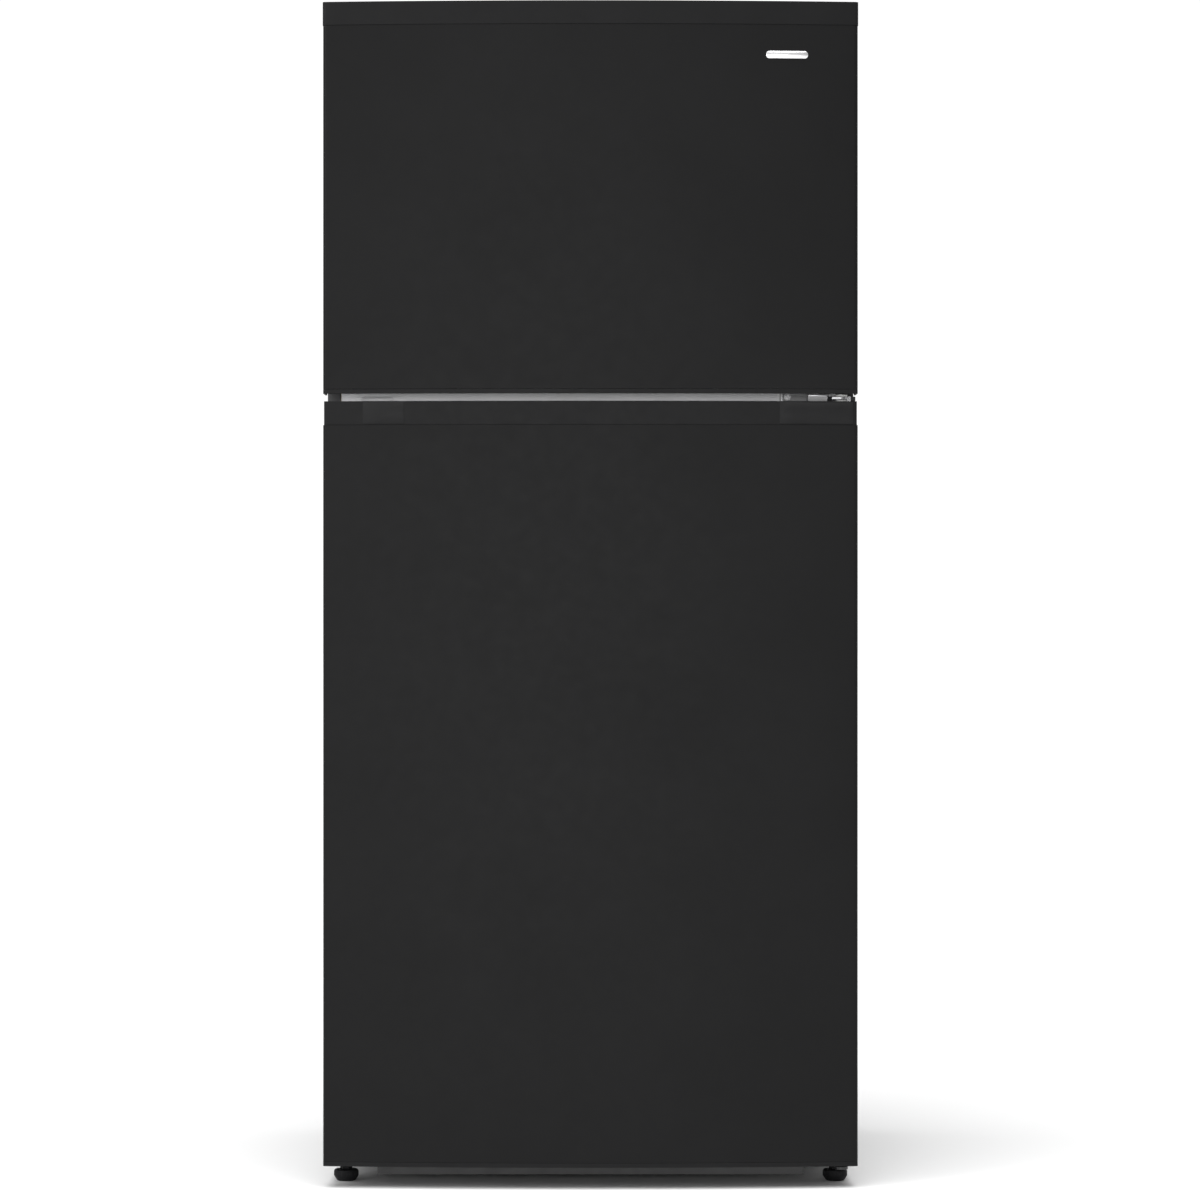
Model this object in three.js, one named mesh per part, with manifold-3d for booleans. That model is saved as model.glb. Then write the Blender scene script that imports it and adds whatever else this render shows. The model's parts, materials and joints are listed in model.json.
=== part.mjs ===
// A top-freezer refrigerator as a scene graph of named sub-parts, in millimetres.
// +Z is up, the doors face -Y, and the hinges are on the +X side.
// The origin is on the floor, under the middle of the whole appliance.
import * as THREE from "three";
import { mergeVertices } from "three/addons/utils/BufferGeometryUtils.js";
import Module from "manifold-3d";

const wasm = await Module();
wasm.setup();

// ---- driving dimensions ----
const GAP = 0.3;

const DOOR_HALF = 395;
const DOOR_BOW = 18;
const DOOR_CORNER_Y = -342;
const DOOR_REAR_Y = -292;
const DOOR_CORNER_RADIUS = 5;
const SKIN = 1;
const FREEZER_DOOR = { bottom: 1173.5, bottomCap: 7, topCap: 34, top: 1752 };
const FRIDGE_DOOR = { bottom: 33, bottomCap: 7, topCap: 35, top: 1162.5 };

const CASE = { half: 392, front: -280, rear: 338, bottom: 45, top: 1740, sheet: 1, flange: 18 };
const REAR_Y = 360.7;
const CAVITY = { half: 342, rear: 285, wall: 2 };
const FREEZER_CAVITY = { bottom: 1205, top: 1692 };
const FRIDGE_CAVITY = { bottom: 100, top: 1140, stepZ: 330, stepY: 80 };
const LINER_FLANGE_HALF = 373.7;
const LEDGE = { depth: 12, height: 8, front: -150 };

const HINGE = { x: 372, y: -314, pin: 4.5, bore: 5.2 };
const RAIL = { bottom: 1146, top: 1192 };
const ROOM = { front: 108, top: 301 };
const APRON = { half: 318, bottom: 12 };

const FREEZER_SHELF_Z = 1440;
const FRIDGE_SHELF_Z = [520, 715, 910];
const CRISPER_COVER_Z = 322;
const ICE_AXIS = { x: -276, z: 1580 };
const DRAIN = { x: 200, y: 268, radius: 6 };
const FAN = { z: 1590, radius: 60 };

const DIKE = { outer: 326, inner: 300, depth: 30, wall: 2 };
const GASKET = { outer: 368, inner: 346, rear: -280.9 };
const BIN = { half: 298, front: -291.4, rear: -180, wall: 3 };
const FOOT = { x: 366, y: -254, radius: 18 };
const ROLLER = { x: 330, y: 300, radius: 20, width: 20, axle: 3 };

// ---- shape helpers: each returns a solid ----
function solid(geometry) {
  const bare = geometry.index ? geometry.toNonIndexed() : geometry.clone();
  bare.deleteAttribute("normal");
  bare.deleteAttribute("uv");
  const merged = mergeVertices(bare, 1e-4);
  return new wasm.Manifold(new wasm.Mesh({
    numProp: 3,
    vertProperties: merged.attributes.position.array,
    triVerts: new Uint32Array(merged.index.array),
  }));
}

function join(first, ...others) {
  return others.reduce((whole, other) => whole.add(other), first);
}

function cut(whole, ...tools) {
  return tools.reduce((left, tool) => left.subtract(tool), whole);
}

function block(x0, x1, y0, y1, z0, z1) {
  const geometry = new THREE.BoxGeometry(x1 - x0, y1 - y0, z1 - z0);
  geometry.translate((x0 + x1) / 2, (y0 + y1) / 2, (z0 + z1) / 2);
  return solid(geometry);
}

// The same block on both sides of the middle plane.
function blockPair(x0, x1, ...rest) {
  return join(block(x0, x1, ...rest), block(-x1, -x0, ...rest));
}

// An outline in X and Y, from height z0 to z1.
function slab(points, z0, z1) {
  const options = { depth: z1 - z0, bevelEnabled: false };
  const geometry = new THREE.ExtrudeGeometry(new THREE.Shape(points), options);
  geometry.translate(0, 0, z0);
  return solid(geometry);
}

// An outline in Y and Z, given as pairs, from x0 to x1.
function sideSlab(pairs, x0, x1) {
  const points = pairs.map(([y, z]) => new THREE.Vector2(y, z));
  const options = { depth: x1 - x0, bevelEnabled: false };
  const geometry = new THREE.ExtrudeGeometry(new THREE.Shape(points), options);
  const turn = new THREE.Matrix4().makeBasis(
    new THREE.Vector3(0, 1, 0),
    new THREE.Vector3(0, 0, 1),
    new THREE.Vector3(1, 0, 0),
  );
  geometry.applyMatrix4(turn);
  geometry.translate(x0, 0, 0);
  return solid(geometry);
}

const TURN_TO = {
  x: (geometry) => geometry.rotateZ(-Math.PI / 2),
  y: (geometry) => geometry,
  z: (geometry) => geometry.rotateX(Math.PI / 2),
};

// A round bar along an axis, from `low` to `high` on it; a and b are its centre on the other two axes.
function rod(axis, a, b, radius, low, high, sides = 24) {
  const geometry = new THREE.CylinderGeometry(radius, radius, high - low, sides);
  TURN_TO[axis](geometry);
  const middle = (low + high) / 2;
  const centre = { x: [middle, a, b], y: [a, middle, b], z: [a, b, middle] }[axis];
  geometry.translate(...centre);
  return solid(geometry);
}

// A closed profile of [radius, height] pairs, turned about an upright axis at x, y.
function turned(profile, x, y, sides = 24) {
  const points = profile.map(([radius, height]) => new THREE.Vector2(radius, height));
  const geometry = new THREE.LatheGeometry(points, sides);
  geometry.rotateX(Math.PI / 2);
  geometry.translate(x, y, 0);
  return solid(geometry);
}

// A round bar along a smooth path of [x, y, z] points.
function bentRod(path, radius, steps, sides = 8) {
  const curve = new THREE.CatmullRomCurve3(path.map((point) => new THREE.Vector3(...point)));
  const ring = [];
  for (let i = 0; i < sides; i += 1) {
    const angle = (2 * Math.PI * i) / sides;
    ring.push(new THREE.Vector2(radius * Math.cos(angle), radius * Math.sin(angle)));
  }
  const options = { steps, extrudePath: curve, bevelEnabled: false };
  return solid(new THREE.ExtrudeGeometry(new THREE.Shape(ring), options));
}

// An open-topped box with walls of one thickness.
function tray(x0, x1, y0, y1, z0, z1, wall) {
  return cut(
    block(x0, x1, y0, y1, z0, z1),
    block(x0 + wall, x1 - wall, y0 + wall, y1 - wall, z0 + wall, z1 + 1),
  );
}

// An upright rectangular ring round a door or a compartment mouth.
function ring(outer, inner, y0, y1, z0, z1) {
  const width = outer - inner;
  return cut(
    block(-outer, outer, y0, y1, z0, z1),
    block(-inner, inner, y0 - 1, y1 + 1, z0 + width, z1 - width),
  );
}

// ---- the tree ----
const refrigerator = new THREE.Group();
const cabinet = new THREE.Group();
const freezerDoor = new THREE.Group();
const fridgeDoor = new THREE.Group();
refrigerator.add(cabinet, freezerDoor, fridgeDoor);

const FINISHES = {
  blackSteel: [0x2a2a2b, 0.42, 0.3],
  blackPlastic: [0x26272a, 0.5, 0],
  darkPlastic: [0x1c1c1d, 0.6, 0],
  caseSteel: [0x2c2d2e, 0.45, 0.3],
  whitePlastic: [0xeceeee, 0.4, 0],
  clearPlastic: [0xdfe8ec, 0.15, 0],
  glass: [0xcfe0dd, 0.05, 0],
  greyRail: [0x9c9d9e, 0.4, 0.4],
  zincSteel: [0xa9adb0, 0.35, 0.9],
  nickel: [0xc4c6c8, 0.25, 1],
  foam: [0xe3d3a0, 0.9, 0],
  aluminium: [0xc9ccce, 0.35, 1],
  copper: [0xb06a45, 0.3, 1],
  blackEnamel: [0x141415, 0.4, 0.2],
  gasket: [0x5c5e61, 0.75, 0],
};

function place(name, shape, finish, group = cabinet, position = [0, 0, 0]) {
  const { vertProperties, triVerts } = shape.getMesh();
  const geometry = new THREE.BufferGeometry();
  geometry.setAttribute("position", new THREE.BufferAttribute(new Float32Array(vertProperties), 3));
  geometry.setIndex(new THREE.BufferAttribute(new Uint32Array(triVerts), 1));
  geometry.computeVertexNormals();
  const [color, roughness, metalness] = FINISHES[finish];
  const mesh = new THREE.Mesh(geometry, new THREE.MeshStandardMaterial({ color, roughness, metalness }));
  mesh.name = name;
  mesh.position.set(...position);
  group.add(mesh);
}

// ---- cabinet shell ----
function outerCase() {
  const { half, front, rear, bottom, top, sheet, flange } = CASE;
  return cut(
    block(-half, half, front, rear, bottom, top),
    block(-half + sheet, half - sheet, front + sheet, rear + 1, bottom - 1, top - sheet),
    block(-half + flange, half - flange, front - 1, front + sheet + 1, bottom + 30, top - 20),
  );
}

const INNER_HALF = CASE.half - CASE.sheet - GAP;
const PAN_TOP = CASE.bottom + GAP + CASE.sheet;

// One folded sheet: front apron, cabinet floor, then up and back over the machine room.
function basePan() {
  const front = CASE.front + CASE.sheet + GAP;
  const rear = CASE.rear - GAP;
  const floor = CASE.bottom + GAP;
  const sheet = sideSlab([
    [front, floor], [ROOM.front, floor], [ROOM.front, ROOM.top], [rear, ROOM.top],
    [rear, ROOM.top + 1], [ROOM.front - 1, ROOM.top + 1], [ROOM.front - 1, PAN_TOP], [front, PAN_TOP],
  ], -INNER_HALF, INNER_HALF);
  const apron = block(-APRON.half, APRON.half, front, front + CASE.sheet, APRON.bottom, floor + CASE.sheet);
  return cut(join(sheet, apron), rod("z", DRAIN.x, 308, DRAIN.radius + 1, ROOM.top - 5, ROOM.top + 5, 12));
}

// The fridge compartment's side profile, grown outwards by `grow`.
function fridgeProfile(front, grow) {
  const { bottom, top, stepZ, stepY } = FRIDGE_CAVITY;
  return [
    [front, bottom - grow], [stepY + grow, bottom - grow], [stepY + grow, stepZ - grow],
    [CAVITY.rear + grow, stepZ - grow], [CAVITY.rear + grow, top + grow], [front, top + grow],
  ];
}

function freezerSpace(front, grow) {
  return block(
    -CAVITY.half - grow, CAVITY.half + grow,
    front, CAVITY.rear + grow,
    FREEZER_CAVITY.bottom - grow, FREEZER_CAVITY.top + grow,
  );
}

function fridgeSpace(front, grow) {
  return sideSlab(fridgeProfile(front, grow), -CAVITY.half - grow, CAVITY.half + grow);
}

// Cold air falls through this passage from the freezer to the fridge.
function airPassage() {
  return block(-40, 40, 266, 282, FRIDGE_CAVITY.top - 5, FREEZER_CAVITY.bottom + 3);
}

const DRAIN_PATH = [
  [DRAIN.x, DRAIN.y, FREEZER_CAVITY.bottom - CAVITY.wall - 2],
  [DRAIN.x, DRAIN.y + 2, 1188],
  [DRAIN.x, 300, 1162],
  [DRAIN.x, 308, 1125],
  [DRAIN.x, 308, 700],
  [DRAIN.x, 308, 275],
];
const DRAIN_STEPS = 24;

function insulation() {
  const front = CASE.front + CASE.sheet + GAP;
  return cut(
    block(-INNER_HALF, INNER_HALF, front, CASE.rear - GAP, PAN_TOP + GAP, CASE.top - CASE.sheet - GAP),
    block(-400, 400, ROOM.front - 1 - GAP, 400, 0, ROOM.top + 1 + GAP),
    freezerSpace(-300, CAVITY.wall + GAP),
    fridgeSpace(-300, CAVITY.wall + GAP),
    airPassage(),
    bentRod(DRAIN_PATH, DRAIN.radius + 1, DRAIN_STEPS),
  );
}

function linerFlange(bottom, top) {
  return block(-LINER_FLANGE_HALF, LINER_FLANGE_HALF, CASE.front, CASE.front + CASE.sheet, bottom, top);
}

function ledges(z, rear) {
  const x0 = CAVITY.half - LEDGE.depth;
  return blockPair(x0, CAVITY.half + 1, LEDGE.front, rear, z - LEDGE.height, z - GAP);
}

function freezerLiner() {
  const shell = join(
    freezerSpace(CASE.front, CAVITY.wall),
    linerFlange(RAIL.top + GAP, CASE.top - 20 - GAP),
  );
  return join(
    cut(
      shell,
      freezerSpace(CASE.front - 1, 0),
      airPassage(),
      rod("z", DRAIN.x, DRAIN.y, DRAIN.radius, FREEZER_CAVITY.bottom - 5, FREEZER_CAVITY.bottom + 5, 12),
    ),
    ledges(FREEZER_SHELF_Z, 215),
  );
}

function fridgeLiner() {
  const shell = join(
    fridgeSpace(CASE.front, CAVITY.wall),
    linerFlange(CASE.bottom + 30 + GAP, RAIL.bottom - GAP),
  );
  return join(
    cut(shell, fridgeSpace(CASE.front - 1, 0), airPassage()),
    ...FRIDGE_SHELF_Z.map((z) => ledges(z, 255)),
    ledges(CRISPER_COVER_Z, FRIDGE_CAVITY.stepY + 1),
  );
}

place("outer_case", outerCase(), "caseSteel");
place("base_pan", basePan(), "blackEnamel");
place("insulation_foam", insulation(), "foam");
place("freezer_liner", freezerLiner(), "whitePlastic");
place("fridge_liner", fridgeLiner(), "whitePlastic");
place(
  "back_panel",
  block(-390, 390, CASE.rear + GAP, CASE.rear + GAP + CASE.sheet, ROOM.top + 2, CASE.top - 1),
  "zincSteel",
);
place(
  "mullion_rail",
  block(-371.7, 371.7, CASE.front - GAP, CASE.front + CASE.sheet, RAIL.bottom, RAIL.top),
  "greyRail",
);
place("hinge_hole_cover", block(-391.5, -372.4, -283.3, -280.6, 1150, 1186), "darkPlastic");

// ---- hinges ----
function pin(low, high, radius = HINGE.pin) {
  return rod("z", HINGE.x, HINGE.y, radius, low, high);
}

// A flat arm that ends in a half circle round the hinge axis.
function arm(halfWidth, rear, z0, z1) {
  const { x, y } = HINGE;
  return join(
    block(x - halfWidth, x + halfWidth, y, rear, z0, z1),
    rod("z", x, y, halfWidth, z0, z1),
  );
}

const TOP_PLATE_Z = CASE.top + GAP;
const TOP_ARM_HALF = 10;
const COVER_NOSE_HALF = 12;

function topHingeBracket() {
  return join(
    block(300, 388, -274, -205, TOP_PLATE_Z, TOP_PLATE_Z + 3),
    arm(TOP_ARM_HALF, -270, TOP_PLATE_Z, TOP_PLATE_Z + 3),
    pin(1722, TOP_PLATE_Z + 2, 4),
  );
}

function topHingeCover() {
  const noseBottom = TOP_PLATE_Z + 3 + GAP;
  return join(
    cut(
      block(296, 391, -277, -190, TOP_PLATE_Z, 1758),
      block(298, 389, -275, -192, TOP_PLATE_Z - 1, 1756),
      block(HINGE.x - 11, HINGE.x + 11, -278, -274, TOP_PLATE_Z - 1, noseBottom),
    ),
    arm(COVER_NOSE_HALF, -276, noseBottom, 1751),
  );
}

function middleHingeBracket() {
  return join(
    block(284, 358, -283.6, -280.6, 1158, 1178),
    block(357, 388, -283.6, -280.6, 1163.5, 1172.5),
    block(322, 381.5, HINGE.y, -283, 1166, 1170),
    block(322, 372, -325, HINGE.y + 1, 1166, 1170),
    rod("z", HINGE.x, HINGE.y, 9.5, 1166, 1170),
    pin(1148, 1188),
  );
}

// The folded front bracket under the cabinet; a levelling foot is screwed through it.
function frontBracket(side) {
  const x = (inner, outer) => (side > 0 ? [inner, outer] : [-outer, -inner]);
  return cut(
    join(
      block(...x(322, 391), -278, -225, 25, 29),
      block(...x(322, 391), -228, -225, 25, CASE.bottom - GAP),
      block(...x(322, 345), -278, -275, 25, CASE.bottom - GAP),
      block(...x(322, 391), -250, -225, CASE.bottom - GAP - 3, CASE.bottom - GAP),
    ),
    rod("z", side * FOOT.x, FOOT.y, 4.6, 20, 35),
  );
}

function bottomHingeBracket() {
  return join(frontBracket(1), arm(TOP_ARM_HALF, -277, 25, 29), pin(26, 50));
}

place("top_hinge_bracket", topHingeBracket(), "zincSteel");
place("top_hinge_cover", topHingeCover(), "blackPlastic");
place("middle_hinge_bracket", middleHingeBracket(), "nickel");
place("bottom_hinge_bracket", bottomHingeBracket(), "blackEnamel");
place("left_foot_bracket", frontBracket(-1), "blackEnamel");

// ---- feet and rollers ----
function levellingFoot() {
  return turned([[0, 0], [FOOT.radius - 5, 0], [FOOT.radius - 3, 2], [FOOT.radius, 7], [FOOT.radius, 15],
    [FOOT.radius - 2, 17], [9, 17], [9, 21], [4, 21], [4, 38], [0, 38], [0, 0]], 0, 0, 24);
}

function roller() {
  const { radius, width, axle } = ROLLER;
  return cut(
    rod("x", 0, 0, radius, -width / 2, width / 2, 28),
    rod("x", 0, 0, axle + 0.4, -width, width, 16),
  );
}

function rollerBracket(x) {
  const cheek = ROLLER.width / 2 + 2;
  const cheeks = [-1, 1].map((side) => {
    const inner = x + side * cheek;
    return block(Math.min(inner, inner + side * 2), Math.max(inner, inner + side * 2), 284, 316, 14, 46.5);
  });
  return join(...cheeks, rod("x", ROLLER.y, ROLLER.radius, ROLLER.axle, x - cheek - 1, x + cheek + 1, 16));
}

function compressorTray() {
  const front = ROOM.front + 0.4;
  const rear = CASE.rear - 0.5;
  return join(
    block(-INNER_HALF, INNER_HALF, front, rear, 46, 48),
    block(-INNER_HALF, INNER_HALF, rear - 1.5, rear, 46, 60),
    rollerBracket(-ROLLER.x),
    rollerBracket(ROLLER.x),
  );
}

place("compressor_tray", compressorTray(), "blackEnamel");
for (const [name, side] of [["left", -1], ["right", 1]]) {
  const footAt = [side * FOOT.x, FOOT.y, 0];
  const rollerAt = [side * ROLLER.x, ROLLER.y, ROLLER.radius];
  place(`front_foot_${name}`, levellingFoot(), "darkPlastic", refrigerator, footAt);
  place(`rear_roller_${name}`, roller(), "darkPlastic", refrigerator, rollerAt);
}

// ---- machine room ----
const COMPRESSOR = { x: 190, y: 222, z: 60, radius: 80 };

function compressor() {
  const { x, y, z, radius } = COMPRESSOR;
  const profile = [[0, 0], [60, 0], [76, 8], [radius - 2, 30], [radius - 2, 92], [radius + 2, 94],
    [radius + 2, 100], [radius - 2, 102], [74, 135], [56, 155], [25, 165], [0, 166], [0, 0]];
  const posts = [];
  for (const dx of [-85, 85]) {
    for (const dy of [-55, 55]) {
      posts.push(rod("z", x + dx, y + dy, 6, 48 + GAP, z + 2, 12));
    }
  }
  return join(
    turned(profile.map(([r, h]) => [r, h + z]), x, y, 22),
    block(x - 98, x + 98, y - 68, y + 68, z - 1, z + 3),
    ...posts,
    block(x - radius - 18, x - radius + 12, y - 30, y + 20, z + 45, z + 85),
  );
}

const LINE_PATH = [
  [60, 216, 160], [60, 216, 195], [20, 190, 215], [-60, 170, 200], [-120, 190, 150],
  [-160, 250, 130], [-180, 290, 150], [-180, 290, 200], [-180, 290, 250], [-180, 290, 300.5],
];

function refrigerantLine() {
  const profile = [[0, 195], [4, 195], [10, 202], [10, 262], [4, 270], [0, 270], [0, 195]];
  const drier = turned(profile, -180, 290, 16);
  return join(bentRod(LINE_PATH, 3.5, 32), drier, block(56, 72, 212, 220, 157, 163));
}

function machineRoomCover() {
  const front = CASE.rear + GAP;
  const louvres = [];
  for (const x of [-200, 0, 200]) {
    for (let z = 140; z <= 260; z += 20) {
      louvres.push(block(x - 80, x + 80, front - 5, front + 5, z, z + 6));
    }
  }
  return cut(
    join(
      block(-385, 385, front, front + 2, 50, 300),
      blockPair(330, 370, front + 1, REAR_Y, 200, 280),
      rod("y", -300, 95, 13, front + 1, front + 10, 20),
    ),
    rod("y", -300, 95, 7, front - 1, front + 12, 16),
    ...louvres,
  );
}

place("compressor", compressor(), "blackEnamel");
place("refrigerant_line", refrigerantLine(), "copper");
place("drip_tray", tray(105, 275, 150, 322, 242, 266, 2), "darkPlastic");
place("drain_tube", bentRod(DRAIN_PATH, DRAIN.radius, DRAIN_STEPS), "whitePlastic");
place("machine_room_cover", machineRoomCover(), "darkPlastic");

// ---- freezer inside ----
const COVER_Y = 226;

function evaporatorCoil() {
  const fins = [];
  for (let x = -270; x <= 270; x += 90) {
    fins.push(block(x - 1.5, x + 1.5, 236, 280, 1228, 1490));
  }
  const tubes = [];
  for (let z = 1250; z <= 1470; z += 55) {
    tubes.push(block(-290, 290, 250, 266, z - 5, z + 5));
  }
  const ends = [-290, 280].map((x) => block(x, x + 10, 250, 266, 1240, 1480));
  return join(fins[0], ...tubes, ...ends, ...fins.slice(1));
}

function evaporatorCover() {
  const slots = [];
  for (let z = 1545; z <= 1630; z += 20) {
    slots.push(block(-110, 110, COVER_Y - 5, COVER_Y + 6, z, z + 9));
  }
  for (let x = -240; x <= 60; x += 30) {
    slots.push(block(x, x + 12, COVER_Y - 5, COVER_Y + 6, 1214, 1240));
  }
  return cut(
    block(-341.5, 341.5, COVER_Y, COVER_Y + 3, FREEZER_CAVITY.bottom + 0.5, FREEZER_CAVITY.top - 0.5),
    rod("y", 230, 1300, 3.8, COVER_Y - 5, COVER_Y + 6, 16),
    ...slots,
  );
}

const BLADES = 5;

function fan() {
  let wheel = rod("y", 0, 0, 20, -11, 11, 20);
  for (let i = 0; i < BLADES; i += 1) {
    const blade = new THREE.BoxGeometry(3, 26, FAN.radius - 16);
    blade.rotateZ(THREE.MathUtils.degToRad(35));
    blade.translate(0, 0, (FAN.radius + 16) / 2 - 1);
    blade.rotateY((2 * Math.PI * i) / BLADES);
    wheel = wheel.add(solid(blade));
  }
  return cut(wheel, rod("y", 0, 0, 3, -4, 20, 12));
}

function fanMotor() {
  return join(
    rod("y", 0, FAN.z, 27, 266, CAVITY.rear - GAP, 20),
    rod("y", 0, FAN.z, 2.4, 248, 268, 12),
    block(-90, 90, 279, CAVITY.rear - GAP, FAN.z - 8, FAN.z + 8),
  );
}

// A shelf with a deeper rim along its front edge.
function shelf(half, front, rear, thickness, rim) {
  return join(
    block(-half, half, front, rear, 0, thickness),
    block(-half, half, front - 4, front + 8, -rim / 2, thickness + 1),
  );
}

const SHELF_HALF = CAVITY.half - 0.6;

function iceMakerFrame() {
  const { x, z } = ICE_AXIS;
  const floor = FREEZER_SHELF_Z + 6 + GAP;
  return cut(
    block(x - 54, x + 54, -40, 130, floor, z + 54),
    block(x - 51, x + 51, -37, 127, floor - 1, z + 51),
    block(x - 51, x + 51, -41, 131, floor - 1, z - 46),
    rod("y", x, z, 7, -50, -30, 20),
    rod("y", x, z, 4.6, 120, 135, 16),
  );
}

function iceTray() {
  const { x, z } = ICE_AXIS;
  const cups = [];
  for (const side of [-1, 1]) {
    for (let i = 0; i < 6; i += 1) {
      const y = -31 + i * 26;
      const left = side > 0 ? x + 2 : x - 38;
      cups.push(block(left, left + 36, y, y + 23, z - 13, z + 7));
    }
  }
  return join(
    cut(block(x - 42, x + 42, -34, 124, z - 16, z + 6), ...cups),
    rod("y", x, z, 6, -60, -33, 20),
    rod("y", x, z, 4, 123, 129.5, 16),
    block(x - 22, x + 22, -62, -48, z - 7, z + 7),
  );
}

place("evaporator_coil", evaporatorCoil(), "aluminium");
place("evaporator_cover", evaporatorCover(), "whitePlastic");
place("fan_motor", fanMotor(), "darkPlastic");
place("evaporator_fan", fan(), "darkPlastic", refrigerator, [0, 251, FAN.z]);
place("freezer_shelf", shelf(SHELF_HALF, -160, 218, 6, 10), "glass", cabinet, [0, 0, FREEZER_SHELF_Z]);
place("ice_maker_frame", iceMakerFrame(), "whitePlastic");
place("ice_tray", iceTray(), "clearPlastic", refrigerator);
place(
  "ice_bin",
  tray(ICE_AXIS.x - 48, ICE_AXIS.x + 48, -150, 110, FREEZER_SHELF_Z + 7.4, 1526, 2.5),
  "clearPlastic",
  refrigerator,
);

// ---- fridge inside ----
function airDuct() {
  const outlets = [];
  for (const z of [420, 610, 800, 1000]) {
    for (const dz of [0, 16]) {
      outlets.push(block(-60, 60, 255, 268, z + dz, z + dz + 8));
    }
  }
  return cut(
    block(-80, 80, 260, CAVITY.rear - GAP, 345, FRIDGE_CAVITY.top - 0.4),
    block(-77.5, 77.5, 262.5, CAVITY.rear + 1, 347.5, FRIDGE_CAVITY.top - 3),
    block(-40, 40, 266, 282, FRIDGE_CAVITY.top - 10, FRIDGE_CAVITY.top + 1),
    ...outlets,
  );
}

function controlHousing() {
  const top = FRIDGE_CAVITY.top - 0.4;
  return cut(
    block(-160, 160, -150, 0, 1096, top),
    block(-157.5, 157.5, -147.5, -2.5, 1098.5, top + 1),
    rod("y", 90, 1118, 3.8, -155, -140, 16),
  );
}

function knob() {
  return join(
    rod("y", 0, 0, 19, -6, 0, 28),
    rod("y", 0, 0, 3.2, -1, 10, 16),
    block(-3, 3, -14, -5, -17, 17),
  );
}

function crisperCover() {
  const rear = FRIDGE_CAVITY.stepY - 0.5;
  return cut(
    join(
      block(-SHELF_HALF, SHELF_HALF, -170, rear, CRISPER_COVER_Z, CRISPER_COVER_Z + 8),
      block(-SHELF_HALF, SHELF_HALF, -178, -168, 306, CRISPER_COVER_Z + 8),
      block(-4, 4, -168.5, rear, FRIDGE_CAVITY.bottom + 0.6, CRISPER_COVER_Z + 1),
    ),
    block(-34, 34, -180, -173, 313, 322.5),
  );
}

// A crisper with a finger lip along the top of its front wall.
function crisper() {
  return join(
    tray(6.5, 337, -164, 70, FRIDGE_CAVITY.bottom + 0.4, 300, 3),
    block(60, 284, -176, -161.5, 280, 284),
    block(60, 284, -176, -173, 266, 284),
  );
}

place("fridge_air_duct", airDuct(), "whitePlastic");
place("control_housing", controlHousing(), "whitePlastic");
FRIDGE_SHELF_Z.forEach((z, i) => {
  place(`fridge_shelf_${i + 1}`, shelf(SHELF_HALF, -164, 258, 5, 12), "glass", cabinet, [0, 0, z]);
});
place("crisper_cover", crisperCover(), "glass");
place("crisper_left", crisper(), "clearPlastic", refrigerator, [-343.5, 0, 0]);
place("crisper_right", crisper(), "clearPlastic", refrigerator);
place(
  "humidity_slider",
  join(block(-30, -8, -177.5, -173.4, 313.4, 322), block(-24, -14, -182, -177, 314.5, 321)),
  "darkPlastic",
  refrigerator,
);
place("freezer_airflow_knob", knob(), "whitePlastic", refrigerator, [230, COVER_Y - 0.6, 1300]);
place("fridge_temperature_knob", knob(), "whitePlastic", refrigerator, [90, -150.6, 1118]);

// ---- doors ----
// The plan outline of a door: bowed front, small corner radii, straight sides. `inset` moves it inwards.
function doorOutline(inset, rear) {
  const half = DOOR_HALF - inset;
  const bowRadius = (DOOR_HALF ** 2 + DOOR_BOW ** 2) / (2 * DOOR_BOW);
  const radius = bowRadius - inset;
  const centreY = DOOR_CORNER_Y - DOOR_BOW + bowRadius;
  const frontY = (x) => centreY - Math.sqrt(radius ** 2 - x ** 2);
  const corner = Math.max(DOOR_CORNER_RADIUS - inset, 1);
  const bowSteps = 20;
  const points = [new THREE.Vector2(half, rear)];
  const side = new THREE.Vector2(half, frontY(half) + corner);
  const edge = new THREE.Vector2(half, frontY(half));
  const front = new THREE.Vector2(half - corner, frontY(half - corner));
  const bend = new THREE.QuadraticBezierCurve(side, edge, front).getPoints(4);
  points.push(...bend);
  for (let i = 1; i < bowSteps; i += 1) {
    const x = front.x * (1 - (2 * i) / bowSteps);
    points.push(new THREE.Vector2(x, frontY(x)));
  }
  points.push(...bend.map((p) => new THREE.Vector2(-p.x, p.y)).reverse());
  points.push(new THREE.Vector2(-half, rear));
  return points.reverse();
}

function doorBlock(inset, z0, z1, rear = DOOR_REAR_Y) {
  return slab(doorOutline(inset, rear), z0, z1);
}

const CAP_WALL = 2.5;
const CAP_PLATE = 3;
const LINER_HALF = DOOR_HALF - 12.3;
const POCKET = { x0: -352, x1: -198, y0: -340, y1: -303, depth: 26, wall: 3 };
const RECESS_Y = -336.5;
const LINER_FRONT_Y = DOOR_REAR_Y - 2;

function skin(z0, z1) {
  return cut(
    doorBlock(0, z0, z1),
    doorBlock(SKIN, z0 - 1, z1 + 1, DOOR_REAR_Y - SKIN),
    block(-DOOR_HALF + 12, DOOR_HALF - 12, DOOR_REAR_Y - 2, DOOR_REAR_Y + 1, z0 - 1, z1 + 1),
  );
}

// Room that the door liner's edge needs in the rear wall of a cap.
function linerNotch(z0, z1) {
  return block(-LINER_HALF - GAP, LINER_HALF + GAP, LINER_FRONT_Y - GAP, DOOR_REAR_Y + 1, z0, z1);
}

function hingeBoss(z0, z1) {
  return block(354, 391, -336, -297, z0, z1);
}

// The finger pocket's outer shape, and the space inside it.
function pocketCup(z0, z1) {
  return block(POCKET.x0, POCKET.x1, POCKET.y0, POCKET.y1, z0, z1);
}

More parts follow.
